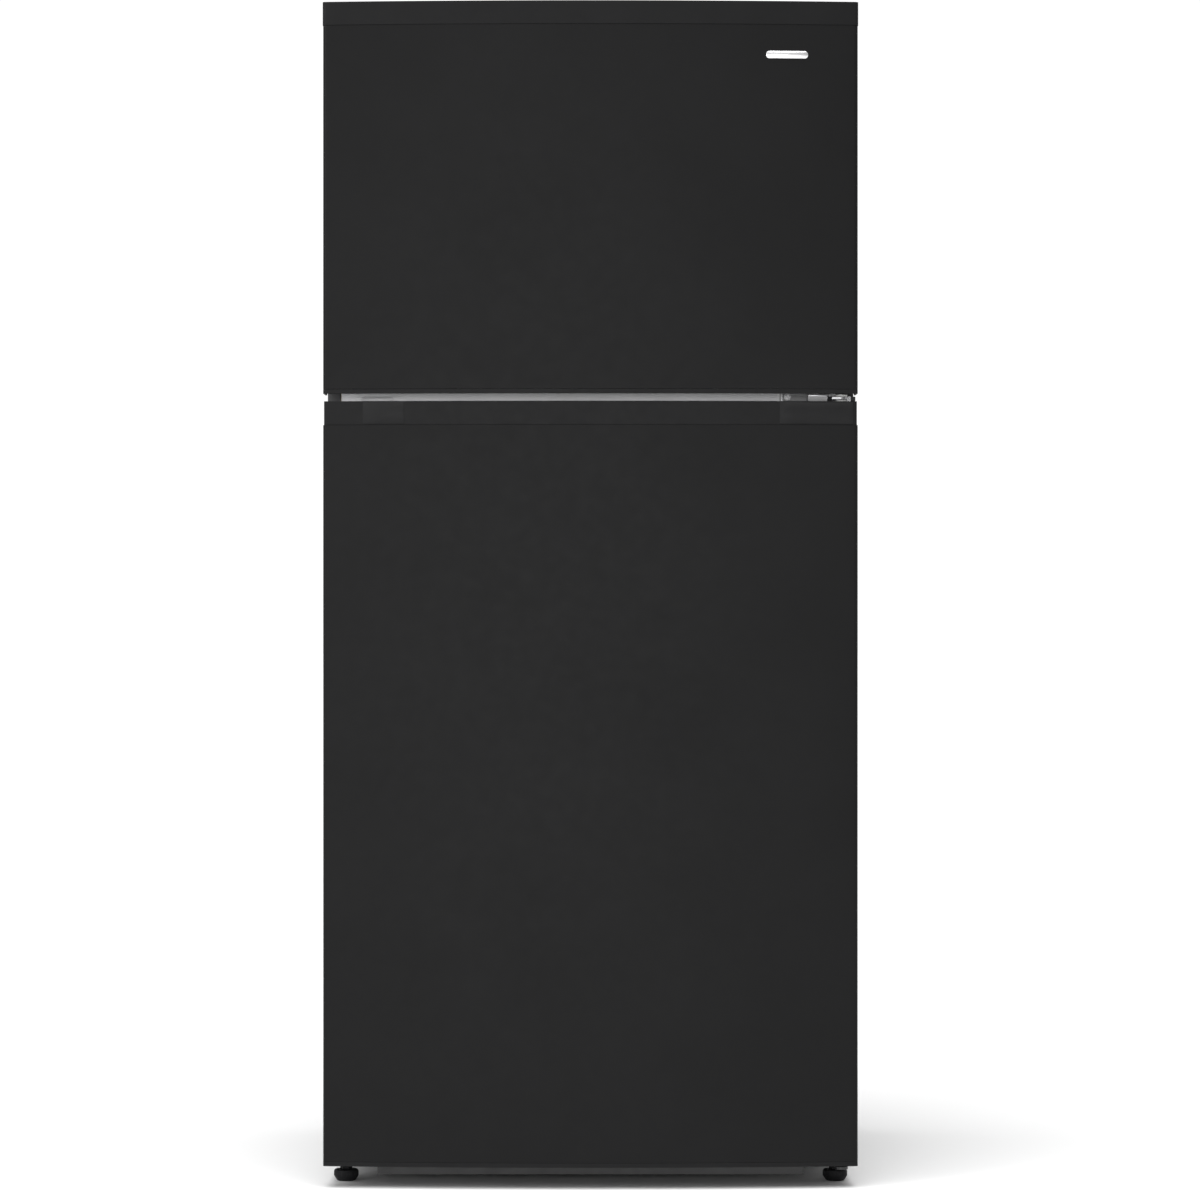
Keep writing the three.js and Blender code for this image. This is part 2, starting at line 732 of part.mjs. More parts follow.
function pocketSpace(z0, z1) {
  const { x0, x1, y0, y1, wall } = POCKET;
  return block(x0 + wall, x1 - wall, y0 + wall, y1 - wall, z0, z1);
}

function hingeBore(z0, z1, radius = HINGE.bore) {
  return rod("z", HINGE.x, HINGE.y, radius, z0, z1);
}

// The part of a door that its steel skin covers, between the end caps.
function skinSpan(door) {
  return { bottom: door.bottom + door.bottomCap, top: door.top - door.topCap };
}

const freezerSkin = skinSpan(FREEZER_DOOR);
const fridgeSkin = skinSpan(FRIDGE_DOOR);
const FREEZER_DIKE = { bottom: 1215, top: 1682 };
const FRIDGE_DIKE = { bottom: 112, top: 1122 };
const FREEZER_LINER_TOP = FREEZER_DOOR.top - 14;
const FRIDGE_LINER_TOP = FRIDGE_DOOR.top - 7.5;
const RIM_PLATE_Z = FREEZER_DOOR.bottom + 4.5;

function freezerTopCap() {
  const { top } = FREEZER_DOOR;
  const z0 = freezerSkin.top;
  const shell = cut(
    doorBlock(-0.7, z0, top),
    doorBlock(CAP_WALL, z0 - 1, top - CAP_PLATE, DOOR_REAR_Y - CAP_WALL),
    linerNotch(z0 - 1, FREEZER_LINER_TOP + GAP),
  );
  const boss = block(350, 400, -400, LINER_FRONT_Y - GAP, z0, top).intersect(doorBlock(-0.7, z0, top));
  return cut(
    join(shell, boss),
    block(HINGE.x - 15, 400, RECESS_Y, -290, CASE.top - 1, top + 1),
    hingeBore(z0 + 2, top + 1, 4.7),
  );
}

function freezerBottomCap() {
  const { bottom } = FREEZER_DOOR;
  const z1 = freezerSkin.bottom - GAP;
  return cut(
    join(
      cut(doorBlock(0, bottom, z1), doorBlock(3, bottom - 1, RIM_PLATE_Z, -280)),
      hingeBoss(RIM_PLATE_Z, RIM_PLATE_Z + 18),
      rod("z", HINGE.x, HINGE.y, 9, bottom, RIM_PLATE_Z + 1),
      pocketCup(RIM_PLATE_Z, RIM_PLATE_Z + POCKET.depth),
    ),
    pocketSpace(bottom - 1, RIM_PLATE_Z + POCKET.depth - POCKET.wall),
    hingeBore(bottom - 1, RIM_PLATE_Z + 14),
  );
}

function fridgeTopCap() {
  const { top } = FRIDGE_DOOR;
  const z0 = fridgeSkin.top;
  const inset = 1.3;
  return cut(
    join(
      cut(
        doorBlock(inset, z0, top),
        doorBlock(inset + CAP_WALL, z0 - 1, top - CAP_PLATE, DOOR_REAR_Y - CAP_WALL),
        linerNotch(z0 - 1, FRIDGE_LINER_TOP + GAP),
      ),
      hingeBoss(top - 27, top - 1),
      pocketCup(top - POCKET.depth - POCKET.wall, top - 1),
    ),
    pocketSpace(top - POCKET.depth, top + 1),
    hingeBore(top - 17, top + 1),
  );
}

function fridgeBottomCap() {
  const { bottom } = FRIDGE_DOOR;
  const z1 = fridgeSkin.bottom - GAP;
  return cut(
    join(
      cut(
        doorBlock(0, bottom, z1),
        doorBlock(CAP_WALL, bottom + CAP_PLATE, z1 + 1, DOOR_REAR_Y - CAP_WALL),
      ),
      hingeBoss(bottom + 1, bottom + 27),
    ),
    hingeBore(bottom - 1, bottom + 20),
  );
}

function dike(bottom, top) {
  return ring(DIKE.outer, DIKE.inner, LINER_FRONT_Y, DOOR_REAR_Y + DIKE.depth, bottom, top);
}

function dikeHollow(bottom, top) {
  const { outer, inner, depth, wall } = DIKE;
  const y1 = DOOR_REAR_Y + depth - wall;
  return ring(outer - wall, inner + wall, LINER_FRONT_Y - 1, y1, bottom + wall, top - wall);
}

function doorLiner(z0, z1, { bottom, top }) {
  return cut(
    join(block(-LINER_HALF, LINER_HALF, LINER_FRONT_Y, DOOR_REAR_Y, z0, z1), dike(bottom, top)),
    dikeHollow(bottom, top),
  );
}

function doorFoam(span, { bottom, top }) {
  const wall = DIKE.wall + GAP;
  const rib = ring(
    DIKE.outer - wall, DIKE.inner + wall,
    LINER_FRONT_Y - 5, DOOR_REAR_Y + DIKE.depth - wall,
    bottom + wall, top - wall,
  );
  return join(doorBlock(SKIN + GAP, span.bottom + GAP, span.top - GAP, LINER_FRONT_Y - GAP), rib);
}

function gasket(bottom, top) {
  return ring(GASKET.outer, GASKET.inner, DOOR_REAR_Y + GAP, GASKET.rear, bottom, top);
}

function doorBin(height) {
  const { half, front, rear, wall } = BIN;
  return cut(
    block(-half, half, front, rear, 0, height),
    block(-half + wall, half - wall, front + wall, rear - wall, wall, height + 1),
    block(-half + 25, half - 25, front - 1, front + wall + 1, height * 0.4, height + 1),
  );
}

place("freezer_door_skin", skin(freezerSkin.bottom, freezerSkin.top - GAP), "blackSteel", freezerDoor);
place("freezer_door_top_cap", freezerTopCap(), "blackPlastic", freezerDoor);
place("freezer_door_bottom_cap", freezerBottomCap(), "blackPlastic", freezerDoor);
place(
  "freezer_door_foam",
  cut(
    doorFoam(freezerSkin, FREEZER_DIKE),
    hingeBoss(1170, RIM_PLATE_Z + 19),
    pocketCup(1170, RIM_PLATE_Z + POCKET.depth + 1),
  ),
  "foam",
  freezerDoor,
);
place(
  "freezer_door_liner",
  doorLiner(freezerSkin.bottom, FREEZER_LINER_TOP, FREEZER_DIKE),
  "whitePlastic",
  freezerDoor,
);
place("freezer_door_gasket", gasket(1181, 1721), "gasket", freezerDoor);
place("freezer_door_bin_lower", doorBin(75), "clearPlastic", freezerDoor, [0, 0, 1243]);
place("freezer_door_bin_upper", doorBin(75), "clearPlastic", freezerDoor, [0, 0, 1550]);

place("fridge_door_skin", skin(fridgeSkin.bottom, fridgeSkin.top - GAP), "blackSteel", fridgeDoor);
place("fridge_door_top_cap", fridgeTopCap(), "blackPlastic", fridgeDoor);
place("fridge_door_bottom_cap", fridgeBottomCap(), "blackPlastic", fridgeDoor);
place(
  "fridge_door_foam",
  cut(doorFoam(fridgeSkin, FRIDGE_DIKE), hingeBoss(30, 61)),
  "foam",
  fridgeDoor,
);
place(
  "fridge_door_liner",
  doorLiner(fridgeSkin.bottom, FRIDGE_LINER_TOP, FRIDGE_DIKE),
  "whitePlastic",
  fridgeDoor,
);
place("fridge_door_gasket", gasket(56, 1154), "gasket", fridgeDoor);
[345, 610, 870].forEach((z, i) => {
  place(`fridge_door_bin_${i + 1}`, doorBin(i === 0 ? 120 : 90), "clearPlastic", fridgeDoor, [0, 0, z]);
});
place(
  "fridge_door_stop",
  block(385, 391.5, -338, -332, FRIDGE_DOOR.top + GAP, FRIDGE_DOOR.top + 7),
  "darkPlastic",
  fridgeDoor,
);

export default refrigerator;
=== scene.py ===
"""Looks for the top freezer refrigerator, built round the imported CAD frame. Metres, +Z up, doors face -Y."""
import json
import math

import bmesh
import bpy
from mathutils import Matrix, Vector


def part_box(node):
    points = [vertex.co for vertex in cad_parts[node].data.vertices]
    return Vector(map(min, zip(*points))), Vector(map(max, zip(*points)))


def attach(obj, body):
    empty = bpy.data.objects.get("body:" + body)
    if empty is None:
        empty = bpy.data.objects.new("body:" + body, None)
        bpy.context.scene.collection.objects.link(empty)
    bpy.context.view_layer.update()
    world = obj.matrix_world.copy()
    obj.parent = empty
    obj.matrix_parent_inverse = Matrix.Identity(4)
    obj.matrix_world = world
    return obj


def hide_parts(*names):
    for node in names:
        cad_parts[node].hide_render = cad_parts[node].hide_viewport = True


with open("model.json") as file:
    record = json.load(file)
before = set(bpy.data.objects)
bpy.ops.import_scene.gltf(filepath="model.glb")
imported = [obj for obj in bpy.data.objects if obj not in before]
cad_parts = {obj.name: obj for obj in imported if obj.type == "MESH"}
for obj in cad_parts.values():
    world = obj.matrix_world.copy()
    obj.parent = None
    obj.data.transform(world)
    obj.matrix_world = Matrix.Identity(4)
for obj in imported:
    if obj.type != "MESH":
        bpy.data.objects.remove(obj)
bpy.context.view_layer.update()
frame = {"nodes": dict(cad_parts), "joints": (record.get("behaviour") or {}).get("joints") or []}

MM = 0.001


def mm(value):
    """Millimetres to metres, for a number or for lists of numbers of any depth."""
    return value * MM if isinstance(value, (int, float)) else [mm(v) for v in value]


# ---------------------------------------------------------------- materials

class Shader:
    """One Principled material; constants go on its own sockets, textures are linked in."""

    def __init__(self, name, **constants):
        self.material = bpy.data.materials.new(name)
        self.material.use_nodes = True
        self.nodes = self.material.node_tree.nodes
        self.links = self.material.node_tree.links
        self.principled = self.nodes["Principled BSDF"]
        for socket, value in constants.items():
            self.principled.inputs[socket.replace("_", " ")].default_value = value
        self.position = self.nodes.new("ShaderNodeTexCoord").outputs["Object"]
        self.height = None

    def mapped(self, scale):
        """Object coordinates, scaled along each axis."""
        node = self.nodes.new("ShaderNodeMapping")
        node.inputs["Scale"].default_value = scale
        self.links.new(self.position, node.inputs["Vector"])
        return node.outputs["Vector"]

    def noise(self, scale, detail, stretch=None):
        node = self.nodes.new("ShaderNodeTexNoise")
        node.inputs["Scale"].default_value = scale
        node.inputs["Detail"].default_value = detail
        vector = self.mapped(stretch) if stretch else self.position
        self.links.new(vector, node.inputs["Vector"])
        return node.outputs["Fac"]

    def cells(self, scale, output="Distance", feature="F1"):
        node = self.nodes.new("ShaderNodeTexVoronoi")
        node.feature = feature
        node.inputs["Scale"].default_value = scale
        self.links.new(self.position, node.inputs["Vector"])
        return node.outputs[output]

    def wave(self, scale):
        node = self.nodes.new("ShaderNodeTexWave")
        node.inputs["Scale"].default_value = scale
        self.links.new(self.position, node.inputs["Vector"])
        return node.outputs["Fac"]

    def roughness(self, fac, low, high):
        """Roughness between low and high, following fac."""
        node = self.nodes.new("ShaderNodeMapRange")
        node.inputs["From Min"].default_value = 0.3
        node.inputs["From Max"].default_value = 0.7
        node.inputs["To Min"].default_value = low
        node.inputs["To Max"].default_value = high
        self.links.new(fac, node.inputs["Value"])
        self.links.new(node.outputs["Result"], self.principled.inputs["Roughness"])

    def colour(self, fac, stops):
        """A base colour that runs through the stops (place, colour), following fac."""
        node = self.nodes.new("ShaderNodeValToRGB")
        ramp = node.color_ramp
        while len(ramp.elements) < len(stops):
            ramp.elements.new(0.5)
        for element, (place, colour) in zip(ramp.elements, stops):
            element.position = place
            element.color = (*colour, 1)
        self.links.new(fac, node.inputs["Fac"])
        self.links.new(node.outputs["Color"], self.principled.inputs["Base Color"])

    def bump(self, height, strength, distance):
        """Adds a bump over the ones before it; distance is in metres."""
        node = self.nodes.new("ShaderNodeBump")
        node.inputs["Strength"].default_value = strength
        node.inputs["Distance"].default_value = distance
        self.links.new(height, node.inputs["Height"])
        if self.height:
            self.links.new(self.height, node.inputs["Normal"])
        self.height = node.outputs["Normal"]
        self.links.new(self.height, self.principled.inputs["Normal"])


def shades(colour, amount):
    """Colour-ramp stops a little darker and lighter than a colour."""
    dark = tuple(c * (1 - amount) for c in colour)
    light = tuple(min(1.0, c * (1 + amount)) for c in colour)
    return [(0.32, dark), (0.68, light)]


def door_steel():
    s = Shader("black_door_steel", Specular_IOR_Level=0.13)
    s.colour(s.noise(7, 4), shades((0.0052, 0.0052, 0.0054), 0.09))
    s.roughness(s.noise(55, 4), 0.43, 0.5)
    s.bump(s.noise(1700, 2), 0.12, 0.00012)
    s.bump(s.noise(26, 2), 0.05, 0.0006)
    return s.material


def door_plastic(name, colour, roughness):
    s = Shader(name, Specular_IOR_Level=0.15)
    s.colour(s.noise(18, 3), shades(colour, 0.1))
    s.roughness(s.noise(90, 3), roughness - 0.05, roughness + 0.06)
    s.bump(s.cells(1300), 0.16, 0.00015)
    return s.material


def case_steel():
    s = Shader("textured_case_steel", Specular_IOR_Level=0.35)
    s.colour(s.noise(11, 4), shades((0.011, 0.011, 0.0115), 0.1))
    s.roughness(s.noise(70, 3), 0.42, 0.54)
    s.bump(s.cells(420, feature="SMOOTH_F1"), 0.3, 0.0003)
    s.bump(s.noise(1500, 2), 0.1, 0.0001)
    return s.material


def white_plastic():
    s = Shader("white_liner_plastic", Specular_IOR_Level=0.5, Subsurface_Weight=0.04, Subsurface_Scale=0.004)
    s.colour(s.noise(3, 2), [(0.3, (0.62, 0.635, 0.64)), (0.7, (0.645, 0.66, 0.665))])
    s.roughness(s.noise(14, 2), 0.3, 0.34)
    s.bump(s.noise(900, 2), 0.06, 0.00012)
    return s.material


def clear_plastic():
    s = Shader("clear_bin_plastic", IOR=1.49, Transmission_Weight=0.82, Specular_IOR_Level=0.5)
    s.colour(s.noise(9, 2), [(0.3, (0.84, 0.9, 0.93)), (0.7, (0.9, 0.95, 0.97))])
    s.roughness(s.noise(60, 3), 0.07, 0.16)
    s.bump(s.noise(420, 2), 0.04, 0.0002)
    return s.material


def shelf_glass():
    s = Shader("shelf_glass", IOR=1.5, Transmission_Weight=0.93)
    s.colour(s.noise(4, 2), [(0.3, (0.82, 0.92, 0.89)), (0.7, (0.87, 0.96, 0.93))])
    s.roughness(s.noise(25, 3), 0.015, 0.06)
    return s.material


def metal(name, colour, roughness, grain=None, spangle=0):
    """Bare metal: grain stretches its noise along an axis, spangle is the scale of its crystals."""
    s = Shader(name, Metallic=1.0)
    if spangle:
        (_, dark), (_, light) = shades(colour, 0.05)
        s.colour(s.cells(spangle, "Color"), [(0.0, dark), (1.0, light)])
    else:
        s.colour(s.noise(30, 4, grain), shades(colour, 0.07))
    s.roughness(s.noise(260, 4, grain), roughness - 0.07, roughness + 0.09)
    s.bump(s.noise(900, 3, grain), 0.12, 0.00012)
    return s.material


def enamel(name, colour, roughness):
    s = Shader(name, Specular_IOR_Level=0.5)
    s.colour(s.noise(30, 4), shades(colour, 0.16))
    s.roughness(s.noise(120, 3), roughness - 0.08, roughness + 0.08)
    s.bump(s.noise(500, 3), 0.14, 0.0002)
    return s.material


def painted_rail():
    s = Shader("grey_rail_paint", Metallic=0.15, Specular_IOR_Level=0.5)
    s.colour(s.noise(12, 4, (1, 8, 8)), shades((0.8, 0.8, 0.81), 0.05))
    s.roughness(s.noise(140, 3, (1, 12, 12)), 0.32, 0.44)
    s.bump(s.noise(700, 3), 0.08, 0.00012)
    return s.material


def rubber():
    s = Shader("gasket_rubber", Specular_IOR_Level=0.3)
    s.colour(s.noise(30, 3), shades((0.055, 0.056, 0.058), 0.15))
    s.roughness(s.noise(160, 3), 0.55, 0.72)
    s.bump(s.noise(1100, 2), 0.2, 0.0002)
    return s.material


def foam():
    s = Shader("foam", Specular_IOR_Level=0.2)
    s.colour(s.noise(40, 5), shades((0.72, 0.6, 0.34), 0.12))
    s.roughness(s.noise(200, 3), 0.85, 0.97)
    s.bump(s.cells(500), 0.5, 0.0008)
    return s.material


def lamp_lens():
    s = Shader("lamp_lens", Transmission_Weight=0.3, Emission_Strength=0.6)
    s.principled.inputs["Emission Color"].default_value = (0.9, 0.95, 1.0, 1)
    s.colour(s.noise(30, 2), [(0.3, (0.86, 0.89, 0.9)), (0.7, (0.93, 0.95, 0.96))])
    s.roughness(s.noise(80, 2), 0.25, 0.4)
    s.bump(s.wave(160), 0.3, 0.0006)
    return s.material


def floor_paint():
    s = Shader("pale_floor", Specular_IOR_Level=0.2)
    s.colour(s.noise(0.8, 4), [(0.3, (0.9, 0.9, 0.9)), (0.7, (0.92, 0.92, 0.92))])
    s.roughness(s.noise(3, 3), 0.75, 0.85)
    return s.material


def make_looks():
    """Material of each of the record's slots."""
    return {
        "door_steel": door_steel(),
        "door_plastic": door_plastic("black_cap_plastic", (0.0056, 0.0056, 0.0059), 0.5),
        "case_steel": case_steel(),
        "dark_plastic": door_plastic("dark_plastic", (0.013, 0.013, 0.014), 0.58),
        "white_plastic": white_plastic(),
        "clear_plastic": clear_plastic(),
        "shelf_glass": shelf_glass(),
        "rail_grey": painted_rail(),
        "zinc_steel": metal("zinc_steel", (0.5, 0.515, 0.53), 0.42, None, 120),
        "nickel_steel": metal("nickel_steel", (0.42, 0.42, 0.43), 0.34, (30, 1, 30)),
        "foam": foam(),
        "aluminium": metal("fin_aluminium", (0.75, 0.76, 0.77), 0.35, (1, 1, 40)),
        "copper": metal("copper_tube", (0.78, 0.4, 0.24), 0.28),
        "black_enamel": enamel("black_enamel", (0.02, 0.02, 0.021), 0.36),
        "gasket_rubber": rubber(),
        "cap_insert": door_plastic("cap_insert_plastic", (0.0092, 0.0092, 0.0096), 0.48),
        "cover_grey": door_plastic("cover_grey_plastic", (0.085, 0.085, 0.087), 0.5),
        "trim_grey": door_plastic("trim_grey_plastic", (0.5, 0.5, 0.505), 0.5),
        "badge": metal("badge_metal", (0.86, 0.86, 0.87), 0.3, (1, 30, 30)),
        "bright_nylon": door_plastic("bright_nylon", (0.82, 0.82, 0.81), 0.4),
        "lens": lamp_lens(),
        "floor": floor_paint(),
    }


LOOKS = make_looks()


# ---------------------------------------------------------------- mesh helpers

def add_object(name, data):
    made = bpy.data.objects.new(name, data)
    bpy.context.scene.collection.objects.link(made)
    return made


def piece(name, mesh, look, body, replaced=(), sharp=35):
    """Finishes a mesh, or several as one, as a piece of the object: material, shading and body."""
    if isinstance(mesh, list):
        mesh = merged(mesh)
    mesh.name = name
    mesh.validate()
    mesh.shade_smooth()
    mesh.set_sharp_from_angle(angle=math.radians(sharp))
    made = add_object(name, mesh)
    mesh.materials.append(LOOKS[look])
    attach(made, body)
    if replaced:
        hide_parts(*replaced)


def soften(target, width, segments):
    """Rounds the sharp edges of an object."""
    edge = target.modifiers.new("edges", "BEVEL")
    edge.width = width
    edge.segments = segments
    edge.limit_method = "ANGLE"
    edge.angle_limit = math.radians(32)
    edge.harden_normals = True


def mesh_of(points, faces):
    """A mesh with joined points and outward faces."""
    mesh = bpy.data.meshes.new("form")
    mesh.from_pydata([tuple(p) for p in points], [], faces)
    made = bmesh.new()
    made.from_mesh(mesh)
    bmesh.ops.remove_doubles(made, verts=made.verts, dist=1e-6)
    bmesh.ops.recalc_face_normals(made, faces=made.faces)
    made.to_mesh(mesh)
    made.free()
    return mesh


def loft(loops, closed=False):
    """Skins a list of point loops of equal length; the ends get flat faces unless the list is closed."""
    count = len(loops[0])
    points = [p for loop in loops for p in loop]
    faces = []
    pairs = len(loops) if closed else len(loops) - 1
    for i in range(pairs):
        a = i * count
        b = ((i + 1) % len(loops)) * count
        for j in range(count):
            k = (j + 1) % count
            faces.append((a + j, a + k, b + k, b + j))
    if not closed:
        faces.append(tuple(range(count)))
        faces.append(tuple(range((len(loops) - 1) * count, len(loops) * count)))
    return mesh_of(points, faces)


PLACE = {
    "x": lambda u, v, w: (w, u, v),
    "y": lambda u, v, w: (u, w, v),
    "z": lambda u, v, w: (u, v, w),
}


def slab(outline, axis, low, high, edge):
    """An outline in the two other axes, extruded along one axis, with softened ends."""
    centre_u = sum(u for u, v in outline) / len(outline)
    centre_v = sum(v for u, v in outline) / len(outline)
    reach_u = max(abs(u - centre_u) for u, v in outline)
    reach_v = max(abs(v - centre_v) for u, v in outline)
    steps = [(edge, low), (edge * 0.3, low + edge * 0.3), (0, low + edge)]
    steps += [(0, high - edge), (edge * 0.3, high - edge * 0.3), (edge, high)]
    loops = []
    for amount, w in steps:
        fu = 1 - amount / reach_u if reach_u > amount else 1
        fv = 1 - amount / reach_v if reach_v > amount else 1
        ring = [(centre_u + (u - centre_u) * fu, centre_v + (v - centre_v) * fv) for u, v in outline]
        loops.append([PLACE[axis](u, v, w) for u, v in ring])
    return loft(loops)


def rounded(x0, x1, y0, y1, radius, steps=5):
    """A rectangle with round corners, anticlockwise."""
    radius = min(radius, (x1 - x0) / 2 - 1e-5, (y1 - y0) / 2 - 1e-5)
    corners = [(x1 - radius, y1 - radius, 0), (x0 + radius, y1 - radius, 90)]
    corners += [(x0 + radius, y0 + radius, 180), (x1 - radius, y0 + radius, 270)]
    points = []
    for cx, cy, start in corners:
        for i in range(steps + 1):
            angle = math.radians(start + 90 * i / steps)
            points.append((cx + radius * math.cos(angle), cy + radius * math.sin(angle)))
    return points


def circle(cx, cy, radius, steps):
    """A circle, anticlockwise."""
    turn = 2 * math.pi / steps
    return [(cx + radius * math.cos(i * turn), cy + radius * math.sin(i * turn)) for i in range(steps)]


def turned(axis, centre, profile, steps, closed=False):
    """A profile of (radius, height) turned about an axis; heights count along that axis from centre."""
    loops = []
    for radius, height in profile:
        ring = circle(0, 0, max(radius, 1e-6), steps)
        loops.append([Vector(PLACE[axis](u, v, height)) + Vector(centre) for u, v in ring])
    return loft(loops, closed)


def open_box(low, high, radius, taper, wall, floor, low_wall=None):
    """A tray: outside up, over the rim, and down inside.

    low_wall is (margin, height): the wall at low y dips to that height, that far from either end.
    """
    (x0, y0, z0), (x1, y1, z1) = low, high
    corner_steps = 6

    def loop(inset, z, dips=False):
        corner = max(radius - inset, 1 * MM)
        points = rounded(x0 + inset, x1 - inset, y0 + inset, y1 - inset, corner, corner_steps)
        heights = [z] * len(points)
        if low_wall:
            margin, height = low_wall
            dip = z1 - z0 - height if dips else 0
            slope = 10 * MM
            low_y_side = 3 * (corner_steps + 1)
            ends = [(x0 + margin, 0), (x0 + margin + slope, dip)]
            ends += [(x1 - margin - slope, dip), (x1 - margin, 0)]
            points[low_y_side:low_y_side] = [(x, y0 + inset) for x, _ in ends]
            heights[low_y_side:low_y_side] = [z - drop for _, drop in ends]
        return [(x, y, h) for (x, y), h in zip(points, heights)]

    inside = wall + taper
    base = z0 + floor
    loops = [loop(taper + 4 * MM, z0), loop(taper + 1.2 * MM, z0 + 1 * MM), loop(taper, z0 + 4 * MM)]
    loops += [loop(0.5 * MM, z1 - 3 * MM, True), loop(0, z1 - 1 * MM, True), loop(wall * 0.25, z1, True)]
    loops += [loop(wall * 0.8, z1, True), loop(wall, z1 - 1 * MM, True)]
    loops += [loop(inside, base + 4 * MM), loop(inside + 1.5 * MM, base + 1 * MM)]
    loops += [loop(inside + 5 * MM, base)]
    return loft(loops)


def merged(meshes):
    """Several meshes as one."""
    made = bmesh.new()
    for mesh in meshes:
        made.from_mesh(mesh)
        bpy.data.meshes.remove(mesh)
    whole = bpy.data.meshes.new("form")
    made.to_mesh(whole)
    made.free()
    return whole


def bar(x0, x1, y0, y1, z0, z1, radius, axis="x", edge=0.8 * MM):
    """A bar with round long edges, running along one axis."""
    spans = {"x": (x0, x1), "y": (y0, y1), "z": (z0, z1)}
    low, high = spans.pop(axis)
    (u0, u1), (v0, v1) = spans.values()
    return slab(rounded(u0, u1, v0, v1, radius, 4), axis, low, high, edge)


def framed(sides, profile, radius, steps=7):
    """Sweeps a closed profile of (out_x, out_low, out_high, y) round the rectangle (half, z0, z1)."""
    half, z0, z1 = sides
    loops = []
    for out_x, out_low, out_high, y in profile:
        corner = max(radius + min(out_x, out_low, out_high), 0.6 * MM)
        outline = rounded(-half - out_x, half + out_x, z0 - out_low, z1 + out_high, corner, steps)
        loops.append([(x, y, z) for x, z in outline])
    return loft(loops, closed=True)


def even(profile):
    """The same reach on every side, for framed()."""
    return [(out, out, out, y) for out, y in profile]


def pipe(name, points, radius, look, body, replaced):
    """A smooth tube along given points."""
    curve = bpy.data.curves.new(name, "CURVE")
    curve.dimensions = "3D"
    curve.bevel_depth = radius
    curve.bevel_resolution = 5
    curve.resolution_u = 10
    curve.use_fill_caps = True
    spline = curve.splines.new("BEZIER")
    spline.bezier_points.add(len(points) - 1)
    for knot, point in zip(spline.bezier_points, points):
        knot.co = point
        knot.handle_left_type = "AUTO"
        knot.handle_right_type = "AUTO"
    made = add_object(name, curve)
    curve.materials.append(LOOKS[look])
    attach(made, body)
    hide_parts(*replaced)


def keep_cad(node, look, width, segments=2):
    """A CAD node that stays in view: its finish, joined vertices, whole flat faces and softened edges."""
    target = frame["nodes"][node]
    target.data.materials.clear()
    target.data.materials.append(LOOKS[look])
    if "custom_normal" in target.data.attributes:
        target.data.attributes.remove(target.data.attributes["custom_normal"])
    target.data.shade_smooth()
    weld = target.modifiers.new("weld", "WELD")
    weld.merge_threshold = 0.01 * MM
    if width:
        flat = target.modifiers.new("flat_faces", "DECIMATE")
        flat.decimate_type = "DISSOLVE"
        flat.angle_limit = math.radians(0.5)
        soften(target, width, segments)


def screw(name, centre, normal, look, body, radius=5.5 * MM, height=3 * MM, drive="hex"):
    """A flanged screw head with its drive recess, standing on a surface."""
    sides, head = (6, radius * 0.78) if drive == "hex" else (28, radius)
    flange = [(radius, 0), (radius, height * 0.22), (radius * 0.93, height * 0.32)]
    mesh = loft([[(x, y, h) for x, y in circle(0, 0, r, 24)] for r, h in flange])
    made = bmesh.new()
    made.from_mesh(mesh)
    top = []
    for r, h in [(head, height * 0.3), (head, height * 0.9), (head * 0.9, height), (head * 0.5, height)]:
        top.append([made.verts.new((x, y, h)) for x, y in circle(0, 0, r, sides)])
    recess = [made.verts.new((x, y, height * 0.55)) for x, y in circle(0, 0, head * 0.42, sides)]
    top.append(recess)
    for low, high in zip(top, top[1:]):
        for i in range(sides):
            k = (i + 1) % sides
            made.faces.new((low[i], low[k], high[k], high[i]))
    made.faces.new(recess)
    made.faces.new(list(reversed(top[0])))
    bmesh.ops.recalc_face_normals(made, faces=made.faces)
    turn = Vector((0, 0, 1)).rotation_difference(Vector(normal)).to_matrix().to_4x4()
    made.transform(Matrix.Translation(centre) @ turn)
    made.to_mesh(mesh)
    made.free()
    piece(name, mesh, look, body, sharp=30)


# ---------------------------------------------------------------- places, from the frame

FREEZER_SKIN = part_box("freezer_door_skin")
FRIDGE_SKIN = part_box("fridge_door_skin")
FREEZER_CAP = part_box("freezer_door_top_cap")
FRIDGE_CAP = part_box("fridge_door_top_cap")
HALF = FREEZER_SKIN[1].x
DOOR_REAR = FREEZER_SKIN[1].y
DOOR_APEX = FREEZER_SKIN[0].y
BOW = 18 * MM
DIKES = {"freezer": mm((1215, 1682)), "fridge": mm((112, 1122))}
DIKE_CORNER = 12 * MM
BOW_RADIUS = (HALF ** 2 + BOW ** 2) / (2 * BOW)
BOW_CENTRE = DOOR_APEX + BOW_RADIUS
LINER_HALF = 342 * MM
LINER_REAR = 285 * MM
COMPRESSOR = mm((190, 222))
FRONT, BACK, UP = (0, -1, 0), (0, 1, 0), (0, 0, 1)
HINGE_X, HINGE_Y = [j["pos_m"][:2] for j in frame["joints"] if j["name"] == "freezer_door_hinge"][0]


def front_y(x, out):
    """The bowed door front at x; out moves it towards the room."""
    return BOW_CENTRE - math.sqrt((BOW_RADIUS + out) ** 2 - x ** 2)


# ---------------------------------------------------------------- doors

